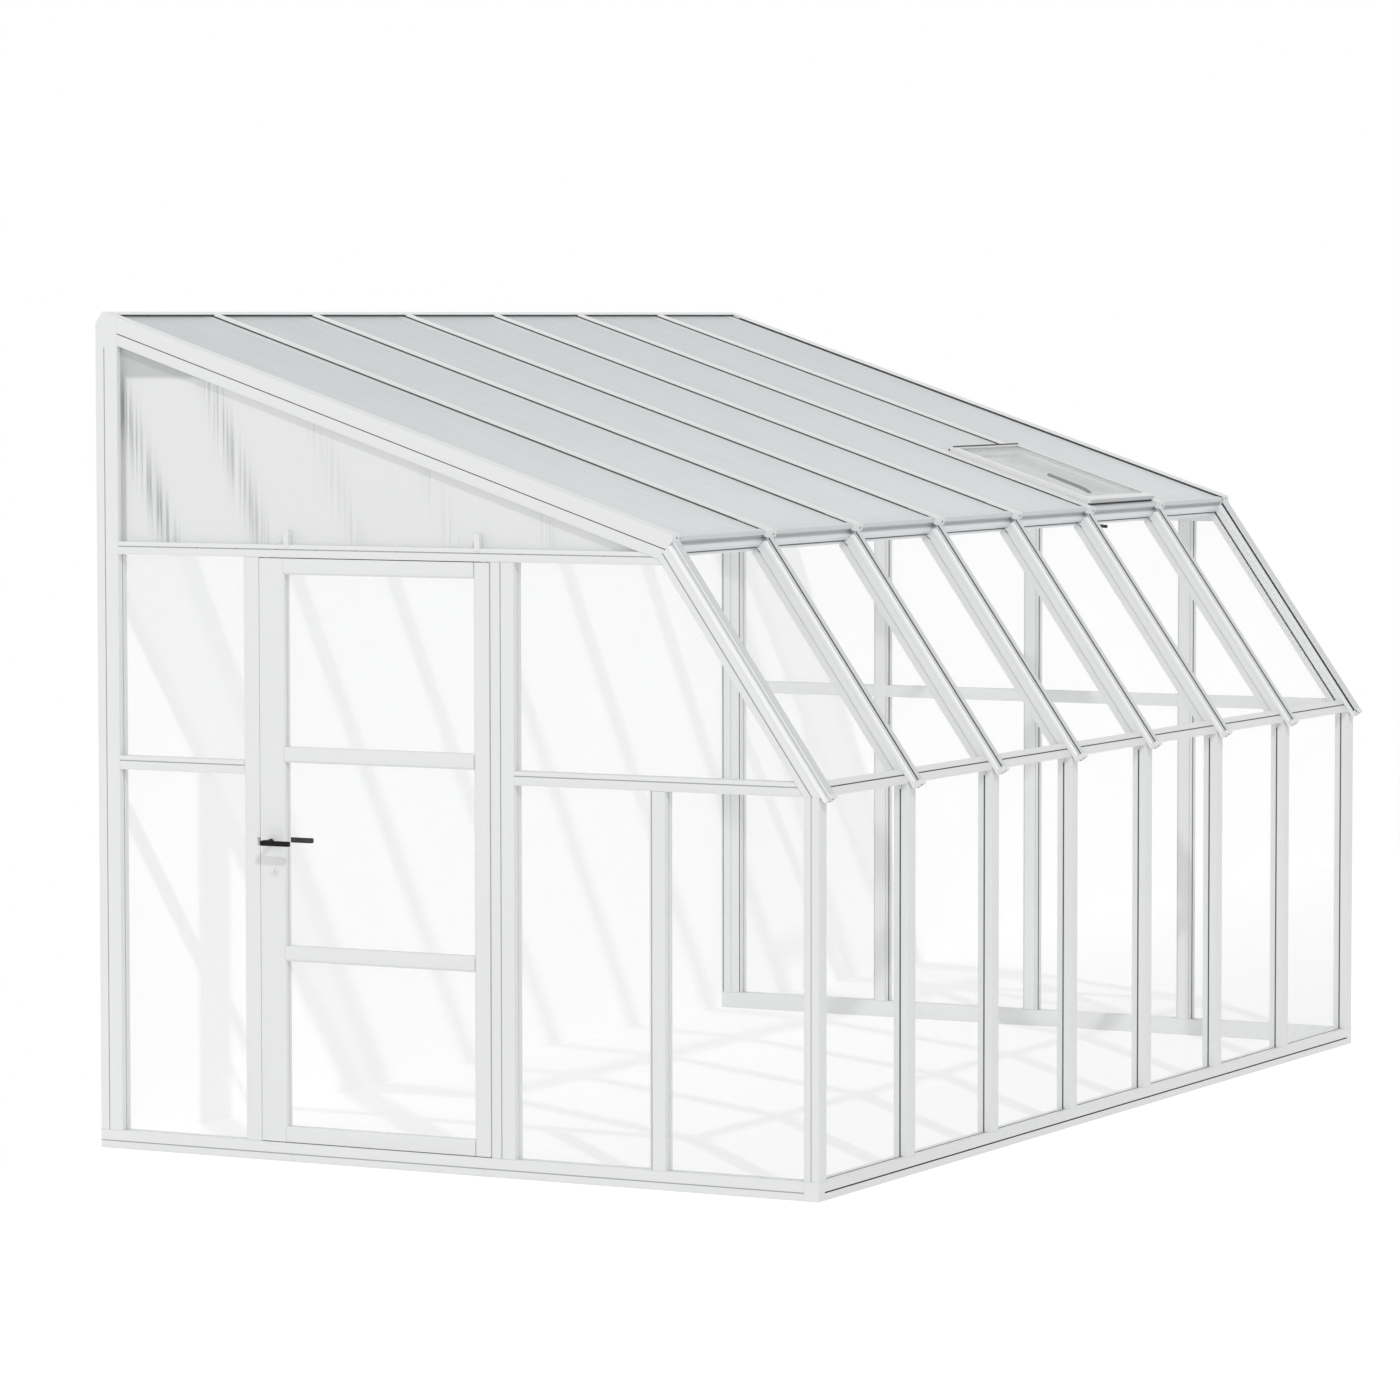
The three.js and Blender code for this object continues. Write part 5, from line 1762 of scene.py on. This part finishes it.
    def build_far_frame(self) -> None:
        """Studs and rails of the far gable, halved over each other."""
        lay = self.layout
        half, lap = lay.bar_width / 2, lay.half_length - lay.middle
        bay = (lay.post_inner - lay.corner_inner - 3 * lay.bar_width) / 4
        studs = [lay.post_inner - i * bay - (i - 0.5) * lay.bar_width for i in (1, 2, 3)]
        for i, y in enumerate(studs):
            section = Side.FAR.place(self.upright(y - half, y + half, True, True, y + 18, 5.0))
            halved = box_outline(lay.half_length - lay.depth, lap - 0.2, y - half, y + half, (), 0.8)
            skin = Skin().sweep(section, UPRIGHT, lay.sill + lay.gap, lay.post_top - lay.gap)
            skin.sweep(halved, UPRIGHT, lay.post_top - lay.gap, lay.rail_top + lay.gap)
            skin.sweep(section, UPRIGHT, lay.rail_top + lay.gap, lay.head - lay.gap)
            skin.profile(f"far_stud_{i + 1}", self.white)
        rail = Side.FAR.place(self.mid_rail())
        thin = box_outline(lap + 0.2, lay.half_length, lay.post_top, lay.rail_top, (), 0.8)
        edges: list[EndCut | float] = [self.slope_end(lay.post_top, lay.rail_top)]
        for y in reversed(studs):
            edges += [y - half - lay.gap, y + half + lay.gap]
        edges.append(lay.post_inner - lay.gap)
        skin = Skin()
        for first, section in ((0, rail), (1, thin)):
            for start, end in zip(edges[first::2], edges[first + 1::2]):
                skin.sweep(section, CROSSWAYS, start, end)
        skin.profile("far_mid_rail", self.white)
        Skin().sweep(self.head_section(True, Side.FAR), CROSSWAYS, self.head_start(),
                     lay.post_inner - lay.gap).profile("far_gable_top_rail", self.white)

    def build_brackets(self) -> None:
        """Screwed straps over the head rail at the door's edges, and feet at the sill."""
        skin = Skin()
        strap = outline([(-9, 0), (9, 0), (9, 52), (-9, 52)], (), 3.0)
        foot = outline([(-11, 0), (11, 0), (11, 20), (-11, 20)], (), 3.0)
        face = gable_face(-self.layout.half_length, -1)
        for y in self.strap_places:
            skin.sweep(strap.moved(y, 1958.0), face, -19.0, 2.4)
            for z in (1972.0, 1999.0):
                skin.screw((-self.layout.half_length - 2.4, y, z), (-1, 0, 0), 3.6, 1.4,
                           Paint.PROFILE)
            skin.sweep(foot.moved(y, 2.0), face, -1.0, 3.0)
        skin.build("door_frame_straps", self.white, "structure", "white_frame")


# Door
@dataclass
class Door(SubAssembly):
    """The leaf with three windows, its lock, its pins and both levers."""

    outer: float = -2200.0
    inner: float = -2157.0
    front: float = -154.0
    back: float = 686.2
    bottom: float = 63.0
    top: float = 1922.5
    glass: Pair = (-97.0, 596.0)
    windows: tuple[Pair, ...] = ((112.0, 641.0), (690.0, 1275.0), (1324.0, 1871.0))
    pivot: Pair = (-2188.0, -140.0)
    spindle: Pair = (645.0, 1020.0)
    lock: Pair = (632.0, 925.0)
    bevel: float = 7.0
    glazing: float = -2178.5
    neck: float = 43.0

    def stile(self, y0: float, y1: float, glass_edge: int) -> Section:
        """A stile in (x, y). Its edge at the glass is bevelled on both faces.

        Args:
            y0: Front edge.
            y1: Back edge.
            glass_edge: 1 where the glass is behind it, -1 in front.

        Returns:
            The section.
        """
        b = self.bevel
        if glass_edge > 0:
            corners = [(self.outer, y0), (self.inner, y0), (self.inner, y1 - b),
                       (self.inner - 5, y1), (self.outer + 5, y1), (self.outer, y1 - b)]
            line = bead(3, self.inner - 5 - self.glazing)
        else:
            corners = [(self.outer, y0 + b), (self.outer + 5, y0), (self.inner - 5, y0),
                       (self.inner, y0 + b), (self.inner, y1), (self.outer, y1)]
            line = bead(1, self.glazing - (self.outer + 5))
        return outline(corners, (line,), 1.6)

    def cross_rail(self, z0: float, z1: float, below: bool, above: bool) -> Section:
        """A rail of the leaf in (x, z), bevelled at each edge that holds glass.

        Args:
            z0: Underside.
            z1: Top.
            below: Glass below it.
            above: Glass above it.

        Returns:
            The section.
        """
        b, lo, hi = self.bevel, self.outer, self.inner
        low = [(lo, z0 + b), (lo + 5, z0), (hi - 5, z0), (hi, z0 + b)] if below else [
            (lo, z0), (hi, z0)]
        high = [(hi, z1 - b), (hi - 5, z1), (lo + 5, z1), (lo, z1 - b)] if above else [
            (hi, z1), (lo, z1)]
        recesses = []
        if below:
            recesses.append(bead(1, self.glazing - (lo + 5)))
        if above:
            recesses.append(bead(len(low) + 1, hi - 5 - self.glazing))
        return outline(low + high, tuple(recesses), 1.6)

    def build(self) -> None:
        """Makes the leaf, the levers and the bolt."""
        self.build_leaf()
        self.build_levers()
        self.build_bolt()

    def build_leaf(self) -> None:
        """Stiles, rails, pins, hinge barrels and the lock cylinder."""
        g0, g1 = self.glass
        skin = Skin().sweep(self.stile(self.front, g0, 1), UPRIGHT, self.bottom, self.top)
        skin.sweep(self.stile(g1, self.back, -1), UPRIGHT, self.bottom, self.top)
        edges = [self.bottom] + [z for window in self.windows for z in window] + [self.top]
        for k in range(0, len(edges), 2):
            rail = self.cross_rail(edges[k], edges[k + 1], k > 0, k < len(edges) - 2)
            skin.sweep(rail, CROSSWAYS, g0 + 0.2, g1 - 0.2)
        x, y = self.pivot
        for z0, z1 in ((self.bottom - 12, self.bottom + 2), (self.top - 2, self.top + 20)):
            skin.round_bar((x, y, z0), (x, y, z1), [4.4, 5, 5, 4.4], [0, 0.08, 0.92, 1],
                           Paint.SCREW, 16)
        y, z = self.lock
        skin.round_bar((self.outer - 6.6, y, z), (self.inner + 6.6, y, z),
                       [3.0, 5.5, 8.2, 9.0, 9.0, 8.2, 5.5, 3.0],
                       [0.03, 0.02, 0.0, 0.02, 0.98, 1.0, 0.98, 0.97], Paint.PROFILE, 24)
        slot = box_outline(-1.2, 1.2, -4.5, 4.5, (), 0.8).painted(Paint.SCREW).moved(y, z)
        plate = outline([(-13, -13), (13, -13), (13, 13), (-13, 13)], (), 12.0, steps=4)
        for side, face in ((-1, self.outer), (1, self.inner)):
            skin.sweep(slot, gable_face(face + side * 6.2, side), -1.0, 0.9)
            skin.sweep(plate.moved(y, z), gable_face(face, side), -0.5, 1.6)
        skin.build("door_leaf_frame", self.white, "door", "white_frame", ("door_leaf",))

    def build_levers(self) -> None:
        """Both levers: a neck with a collar, and a soft cornered grip square to it."""
        y, z = self.spindle
        for side, face, node in ((-1, self.outer - 0.4, "outer_handle"),
                                 (1, self.inner + 0.4, "inner_handle")):
            end = face + side * self.neck
            skin = Skin().round_bar((face, y, z), (end + side * 4, y, z),
                                    [9.6, 10.4, 10.4, 9.0, 8.6, 8.6, 9.6, 9.6],
                                    [0.0, 0.03, 0.16, 0.22, 0.3, 0.7, 0.85, 1.0])
            middle = end + side * 6
            path = np.linspace((middle, y + 10, z), (middle, y - 97, z), 12)
            skin.rod(path, 13.0, 16.5, (1, 0, 0), power=6.0, tip=0.82)
            if side < 0:
                rod = box_outline(-4, 4, -4, 4, (), 0.4)
                skin.sweep(rod.moved(y, z), LENGTHWAYS, face - 20, self.inner + 28)
            skin.build(f"{node}_lever", self.finishes.black, "handle", "black_fittings", (node,),
                       crease=50)

    def build_bolt(self) -> None:
        """The latch bolt, bevelled on the side that meets the stop first."""
        y1 = 697.0
        section = outline([(-2185.5, y1 - 31), (-2171.5, y1 - 31), (-2171.5, y1),
                           (-2178.0, y1), (-2185.5, y1 - 8)], (), 0.8)
        Skin().sweep(section, UPRIGHT, 1010, 1030).build(
            "latch_bolt_tongue", self.finishes.latch, "latch", "latch_metal", ("latch_bolt",))


# Roof vent
@dataclass
class RoofVent(SubAssembly):
    """The curb on the roof, the sash that tilts over it and the curved stay."""

    left: float = 957.0
    right: float = 1523.0
    hole: Pair = (25.0, 465.0)
    curb: Pair = (-66.0, 512.0)
    sash: Pair = (-72.0, 505.0)
    curb_foot: float = 5.4
    curb_top: float = 15.0
    sash_foot: float = 15.6
    sash_top: float = 31.0
    rails: tuple[float, float, float, float] = (34.0, 13.0, 38.0, 13.0)
    grip: float = 3.4
    hinge: Pair = (509.0, 18.0)
    stay: Pair = (34.0, -22.0)
    stay_x: float = 1240.0
    stay_grip: tuple[Pair, Pair] = ((-660.0, 1939.0), (-732.5, 1934.0))

    def build(self) -> None:
        """Makes the curb, the sash and the stay."""
        self.build_curb()
        self.build_sash()
        self.build_stay()

    def gable_rect(self, runs: Pair, rises: Pair,
                   edges: dict[int, Paint] | None = None) -> Section:
        """A rectangle on the roof's axes as a section in (y, z)."""
        return roof_outline([(runs[0], rises[0]), (runs[1], rises[0]), (runs[1], rises[1]),
                             (runs[0], rises[1])], edges=edges)

    def build_curb(self) -> None:
        """Four rails round the opening, the hinge rod, and the ears of the stay."""
        lay = self.layout
        x0, x1 = self.left + 1, self.right - 1
        h0, h1 = self.hole
        rises = (self.curb_foot, self.curb_top)
        # The front face of the curb's lower rail is painted black, the shadow under the sash.
        skin = Skin().sweep(self.gable_rect((self.curb[0], h0), rises, {3: Paint.GASKET_AND_SHADE}),
                            LENGTHWAYS, x0, x1)
        skin.sweep(self.gable_rect((h1, self.curb[1]), rises), LENGTHWAYS, x0, x1)
        side = box_outline(x0, x0 + 27, *rises, (), 0.6)
        skin.sweep(side, ROOF, h0 + 0.1, h1 - 0.1)
        skin.sweep(side.mirrored((x0 + x1) / 2), ROOF, h0 + 0.1, h1 - 0.1)
        rod = lay.roof(*self.hinge)
        skin.round_bar((x0 + 2, *rod), (x1 - 2, *rod), [3.0, 3.5, 3.5, 3.0], [0, 0.002, 0.998, 1],
                       Paint.GASKET_AND_SHADE, 20)
        web = self.gable_rect((self.hinge[0] - 1.7, self.hinge[0] + 1.7), (14.5, 16.0))
        skin.sweep(web, LENGTHWAYS, x0 + 2, x1 - 2)
        ear = roof_outline([(25.6, -32), (42, -32), (42, 14.6), (20, 14.6), (20, 5.6),
                            (25.6, 5.6)], [3.0, 3.0, 0.6, 0.6, 0.3, 0.3])
        for a, b in ((-9.4, -4.4), (4.4, 9.4)):
            skin.sweep(ear, LENGTHWAYS, self.stay_x + a, self.stay_x + b)
        pin = lay.roof(*self.stay)
        skin.round_bar((self.stay_x - 12, *pin), (self.stay_x + 12, *pin),
                       [2.0, 5.0, 5.0, 3.0, 3.0, 5.0, 5.0, 2.0],
                       [0.0, 0.0, 0.1, 0.101, 0.899, 0.9, 1.0, 1.0], Paint.SCREW, 18)
        skin.profile("vent_curb", self.white)

    def build_sash(self) -> None:
        """The sash: a mitred rail with a bevelled inner edge, and the pane in its channel."""
        x0, x1 = self.left + 3, self.right - 3
        lo, hi = self.sash_foot, self.sash_top
        middle = (lo + hi) / 2
        low, high = middle - self.grip, middle + self.grip
        points = np.array([(0, lo), (1, lo), (1, low), (0.72, low), (0.72, high), (1, high),
                           (1, hi - 2.6), (0.86, hi - 0.3), (0.8, hi), (0.05, hi),
                           (0, hi - 1.6)])
        section = Section(points, np.zeros(len(points), int))
        skin = Skin().ring(section, ROOF, (x0, self.sash[0]), (x1, self.sash[1]), self.rails)
        # Grey painted shade on the front face of the sash's lower rail.
        front = self.gable_rect((self.sash[0] - 0.9, self.sash[0] + 0.5), (lo + 0.5, hi - 2.0))
        skin.sweep(front.painted(Paint.PAINTED_SHADE), LENGTHWAYS, x0 + 1.0, x1 - 1.0)
        # A black strip of painted shade along the sash's top rail, the dark gap at the hinge.
        seal = self.gable_rect((self.sash[1] - 7.0, self.sash[1] - 0.6), (hi - 1.0, hi + 3.0))
        skin.sweep(seal.painted(Paint.GASKET_AND_SHADE), LENGTHWAYS, x0 + 0.5, x1 - 0.5)
        skin.build("vent_sash_frame", self.white, "vent", "white_frame", ("vent_sash",))
        left, right, foot, head = self.rails
        pane = box_outline(x0 + left - self.grip, x1 - right + self.grip, middle - 3, middle + 3,
                           (), 0.2)
        sheet = Skin().sweep(pane, ROOF, self.sash[0] + foot - self.grip,
                             self.sash[1] - head + self.grip)
        sheet.build("vent_sheet_pane", [self.finishes.vent], "vent", "twin_wall_panel",
                    ("vent_pane",))

    def build_stay(self) -> None:
        """The stay: a hub on the pin, a hooked arm, a shank and a level grip.

        Over run s the arm's middle line rises by 3*s/165 + 31*(1 - exp(-s/14)), so that it
        climbs steeply off the hub and then lies close under the pane.
        """
        lay = self.layout
        run, rise = self.stay
        places = 4.0 + 196.0 * np.linspace(0, 1, 22) ** 1.6
        climb = 3.0 * places / 165 + 31.0 * (1 - np.exp(-places / 14))
        arm = self.beside(np.array([lay.roof(run + a, rise + b) for a, b in zip(places, climb)]))
        skin = Skin().rod(arm, 8.0, 12.0, (1, 0, 0), power=3.2)
        skin.rod(arm[9:], 20.0, 8.0, (1, 0, 0), power=3.2, tip=0.3)
        hub = lay.roof(run, rise)
        angle = np.linspace(0, 2 * np.pi, 24, endpoint=False)
        circle = np.stack([np.cos(angle), np.sin(angle)], 1)
        skin.surface(np.stack([self.beside(hub + radius * circle, shift) for shift, radius in
                               ((-4.0, 3.4), (-4.0, 8.0), (4.0, 8.0), (4.0, 3.4), (-4.0, 3.4))]),
                     poles=False)
        t = np.linspace(0, 1, 8)[:, None]
        foot, end = np.array(self.stay_grip)
        for first, last, power in ((lay.roof(run, rise - 6), foot, 3.2), (foot, end, 2.6)):
            skin.rod(self.beside((1 - t) * first + t * last), 8.0, 12.0, (1, 0, 0), power=power)
        skin.build("vent_stay_arm", self.finishes.black, "stay", "black_fittings",
                   ("vent_stay",), crease=50)

    def beside(self, points: np.ndarray, shift: float = 0.0) -> np.ndarray:
        """Gable plane points (n, 2) in space, at the stay's place or shifted from it."""
        return np.insert(points, 0, self.stay_x + shift, axis=1)


# Glazing and studio
@dataclass
class Glazing(SubAssembly):
    """Panes and sheets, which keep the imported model's own solids."""

    def build(self) -> None:
        """Gives each sheet its finish."""
        table = {
            self.finishes.clear: ("front_panes", "slope_panes", "door_gable_rear_pane",
                                  "door_gable_front_pane", "far_gable_pane", "door_pane"),
            self.finishes.roof: ("roof_panels",),
            self.finishes.gable: tuple(side.node("upper_panel") for side in Side),
        }
        for material, nodes in table.items():
            for node in nodes:
                mesh = frame["nodes"][node].data
                mesh.materials.clear()
                mesh.materials.append(material)
                log.info("%s: %s", node, material.name)


@dataclass
class Studio:
    """Floor, house wall, soft light, white surround and the camera of the photograph."""

    camera_place: Triple = (-17.9090, -9.1594, 2.6778)
    right: Triple = (0.46573, -0.88492, -0.00116)
    up: Triple = (0.05817, 0.02930, 0.99788)
    lens: float = 150.22
    sun_from: Triple = (-1.063, -1.0, 1.3)
    sun_strength: float = 0.9
    sun_angle: float = 1.3
    horizon: float = 0.88
    zenith: float = 0.42
    floor_color: float = 0.50
    floor_glow: float = 0.42
    floor_seen: float = 0.10
    floor_lift: float = 0.16
    wall_color: float = 0.80
    wall_glow: float = 0.305
    wall_size: Pair = (12.0, 3.4)
    floor_reach: float = 45.0
    tilt: Pair = (-0.05, 0.22)

    def build(self) -> None:
        """Makes the whole set."""
        self.build_camera()
        self.build_floor()
        self.build_wall()
        self.build_world()
        self.build_sun()
        bpy.context.scene.view_settings.view_transform = "Standard"

    def build_camera(self) -> None:
        """The camera, from its place and its right and up directions."""
        data = bpy.data.cameras.new("view")
        data.sensor_fit = "HORIZONTAL"
        data.sensor_width = 36.0
        data.lens = self.lens
        data.clip_end = 200.0
        camera = add_object("view", data)
        right = Vector(self.right).normalized()
        up = Vector(self.up)
        up = (up - right * up.dot(right)).normalized()
        turn = Matrix((right, up, right.cross(up))).transposed()
        camera.matrix_world = Matrix.Translation(self.camera_place) @ turn.to_4x4()
        bpy.context.scene.camera = camera

    def sheet(self, name: str, corner: Triple, a: Triple, b: Triple, material: Material) -> None:
        """A flat staged sheet of 2 by 2 faces: corner + u*a + v*b, in metres.

        Args:
            name: Name of the sheet.
            corner: Its corner.
            a: One edge.
            b: The other edge.
            material: Its material.
        """
        u = np.linspace(0.0, 1.0, 3)
        s, t = np.meshgrid(u, u, indexing="ij")
        points = (np.array(corner) + s[..., None] * np.array(a)
                  + t[..., None] * np.array(b)).reshape(-1, 3)
        i, j = np.meshgrid(np.arange(2), np.arange(2), indexing="ij")
        quads = np.stack([i * 3 + j, (i + 1) * 3 + j, (i + 1) * 3 + j + 1, i * 3 + j + 1], -1)
        mesh = bpy.data.meshes.new(name)
        mesh.from_pydata(points.tolist(), [], quads.reshape(-1, 4).tolist())
        mesh.materials.append(material)
        add_object(name, mesh)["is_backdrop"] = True

    def direct(self, g: Graph) -> Socket:
        """1 for a camera ray that has passed through no sheet.

        Args:
            g: The graph to add to.

        Returns:
            The mask.
        """
        path = g.node("ShaderNodeLightPath").outputs
        return g.math("MULTIPLY", path["Is Camera Ray"],
                      g.math("LESS_THAN", path["Transparent Depth"], 0.5))

    def mirrored_rays(self, g: Graph) -> Socket:
        """1 for a glossy or transmission ray."""
        path = g.node("ShaderNodeLightPath").outputs
        return g.math("MAXIMUM", path["Is Glossy Ray"], path["Is Transmission Ray"])

    def matte(self, g: Graph, color: float, glow: object) -> Socket:
        """A matte surface with a little light of its own.

        Args:
            g: The graph to add to.
            color: How pale it is.
            glow: Strength of its own light.

        Returns:
            The surface.
        """
        matte = g.node("ShaderNodeBsdfDiffuse", {"Color": (color, color, color, 1)})
        light = g.node("ShaderNodeEmission", {"Strength": glow})
        return g.node("ShaderNodeAddShader", {0: matte.outputs[0],
                                              1: light.outputs[0]}).outputs[0]

    def build_floor(self) -> None:
        """A pale floor up to the house wall. It keeps the shadow and is white where bare."""
        material = bpy.data.materials.new("studio_floor")
        g = cleared(material)
        white = g.math("MAXIMUM", self.direct(g), self.mirrored_rays(g))
        seen = g.node("ShaderNodeLightPath").outputs["Is Camera Ray"]
        lift = g.math("ADD", g.math("MULTIPLY", white, self.floor_lift),
                      g.math("MULTIPLY", seen, self.floor_seen))
        glow = g.math("ADD", lift, self.floor_glow)
        g.node("ShaderNodeOutputMaterial", {"Surface": self.matte(g, self.floor_color, glow)})
        reach = self.floor_reach
        depth = reach + (LAYOUT.wall + FRAME_SHIFT[1]) * METRE
        self.sheet("studio_floor", (-reach, -reach, -0.0005), (2 * reach, 0, 0), (0, depth, 0),
                   material)

    def build_wall(self) -> None:
        """A pale house wall that shows only through the sheets, and only from the front."""
        material = bpy.data.materials.new("studio_wall")
        g = cleared(material)
        back = g.node("ShaderNodeNewGeometry").outputs["Backfacing"]
        shadow = g.node("ShaderNodeLightPath").outputs["Is Shadow Ray"]
        hidden = g.math("MAXIMUM", g.math("MAXIMUM", self.direct(g), back), shadow)
        clear = g.node("ShaderNodeBsdfTransparent")
        surface = g.node("ShaderNodeMixShader", {
            0: hidden, 1: self.matte(g, self.wall_color, self.wall_glow), 2: clear.outputs[0]})
        g.node("ShaderNodeOutputMaterial", {"Surface": surface.outputs[0]})
        width, height = self.wall_size
        place = (np.array([-LAYOUT.half_length, LAYOUT.wall + 1.5, 0.0]) + FRAME_SHIFT) * METRE
        self.sheet("studio_wall", tuple(place), (width, 0, 0), (0, 0, height), material)

    def build_world(self) -> None:
        """A world that lights evenly from the horizon and less from above.

        Its strength is horizon + (zenith - horizon)*z^2 + tilt_x*x + tilt_y*y for a ray
        (x, y, z), so that it is a little stronger from the door's side and from the wall's.
        """
        world = bpy.data.worlds.new("studio")
        bpy.context.scene.world = world
        g = cleared(world)
        path = g.node("ShaderNodeLightPath")
        seen = g.math("MAXIMUM", path.outputs["Is Camera Ray"], self.mirrored_rays(g))
        ray = g.node("ShaderNodeTexCoord").outputs["Generated"]
        x, y, z = g.node("ShaderNodeSeparateXYZ", {0: ray}).outputs[:3]
        upward = g.math("MAXIMUM", z, 0.0)
        share = g.math("MULTIPLY", upward, upward)
        slant = g.math("ADD", g.math("MULTIPLY", x, self.tilt[0]),
                       g.math("MULTIPLY", y, self.tilt[1]))
        strength = g.math("ADD", g.math("MULTIPLY", share, self.zenith - self.horizon),
                          g.math("ADD", slant, self.horizon))
        soft = g.node("ShaderNodeBackground", {"Color": (1, 1, 1, 1), "Strength": strength})
        white = g.node("ShaderNodeBackground", {"Color": (1, 1, 1, 1), "Strength": 1.0})
        both = g.node("ShaderNodeMixShader", {0: seen, 1: soft.outputs[0], 2: white.outputs[0]})
        g.node("ShaderNodeOutputWorld", {"Surface": both.outputs[0]})

    def build_sun(self) -> None:
        """A weak sun from the front, left and above."""
        lamp = bpy.data.lights.new("soft_sun", "SUN")
        lamp.energy = self.sun_strength
        lamp.angle = math.radians(self.sun_angle)
        sun = add_object("soft_sun", lamp)
        sun.rotation_euler = Vector(self.sun_from).to_track_quat("Z", "Y").to_euler()


def write_sizes() -> None:
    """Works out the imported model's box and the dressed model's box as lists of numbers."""
    def plain(box: tuple[Vector, Vector]) -> list[list[float]]:
        """A box as lists of numbers."""
        return [[float(c) for c in corner] for corner in box]

    {"cad": plain(CAD_BOX), "visual": plain(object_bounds())}


def main() -> None:
    """Builds and dresses the greenhouse, part by part."""
    logging.basicConfig(level=logging.INFO, format="%(name)s %(message)s")
    Studio().build()
    finishes = FinishSet()
    for part in (FrontWall(finishes), SlopeFront(finishes), RoofFrame(finishes),
                 Gables(finishes), Door(finishes), RoofVent(finishes), Glazing(finishes)):
        log.info("building %s", type(part).__name__)
        part.build()
    write_sizes()


if __name__ == "__main__":
    main()
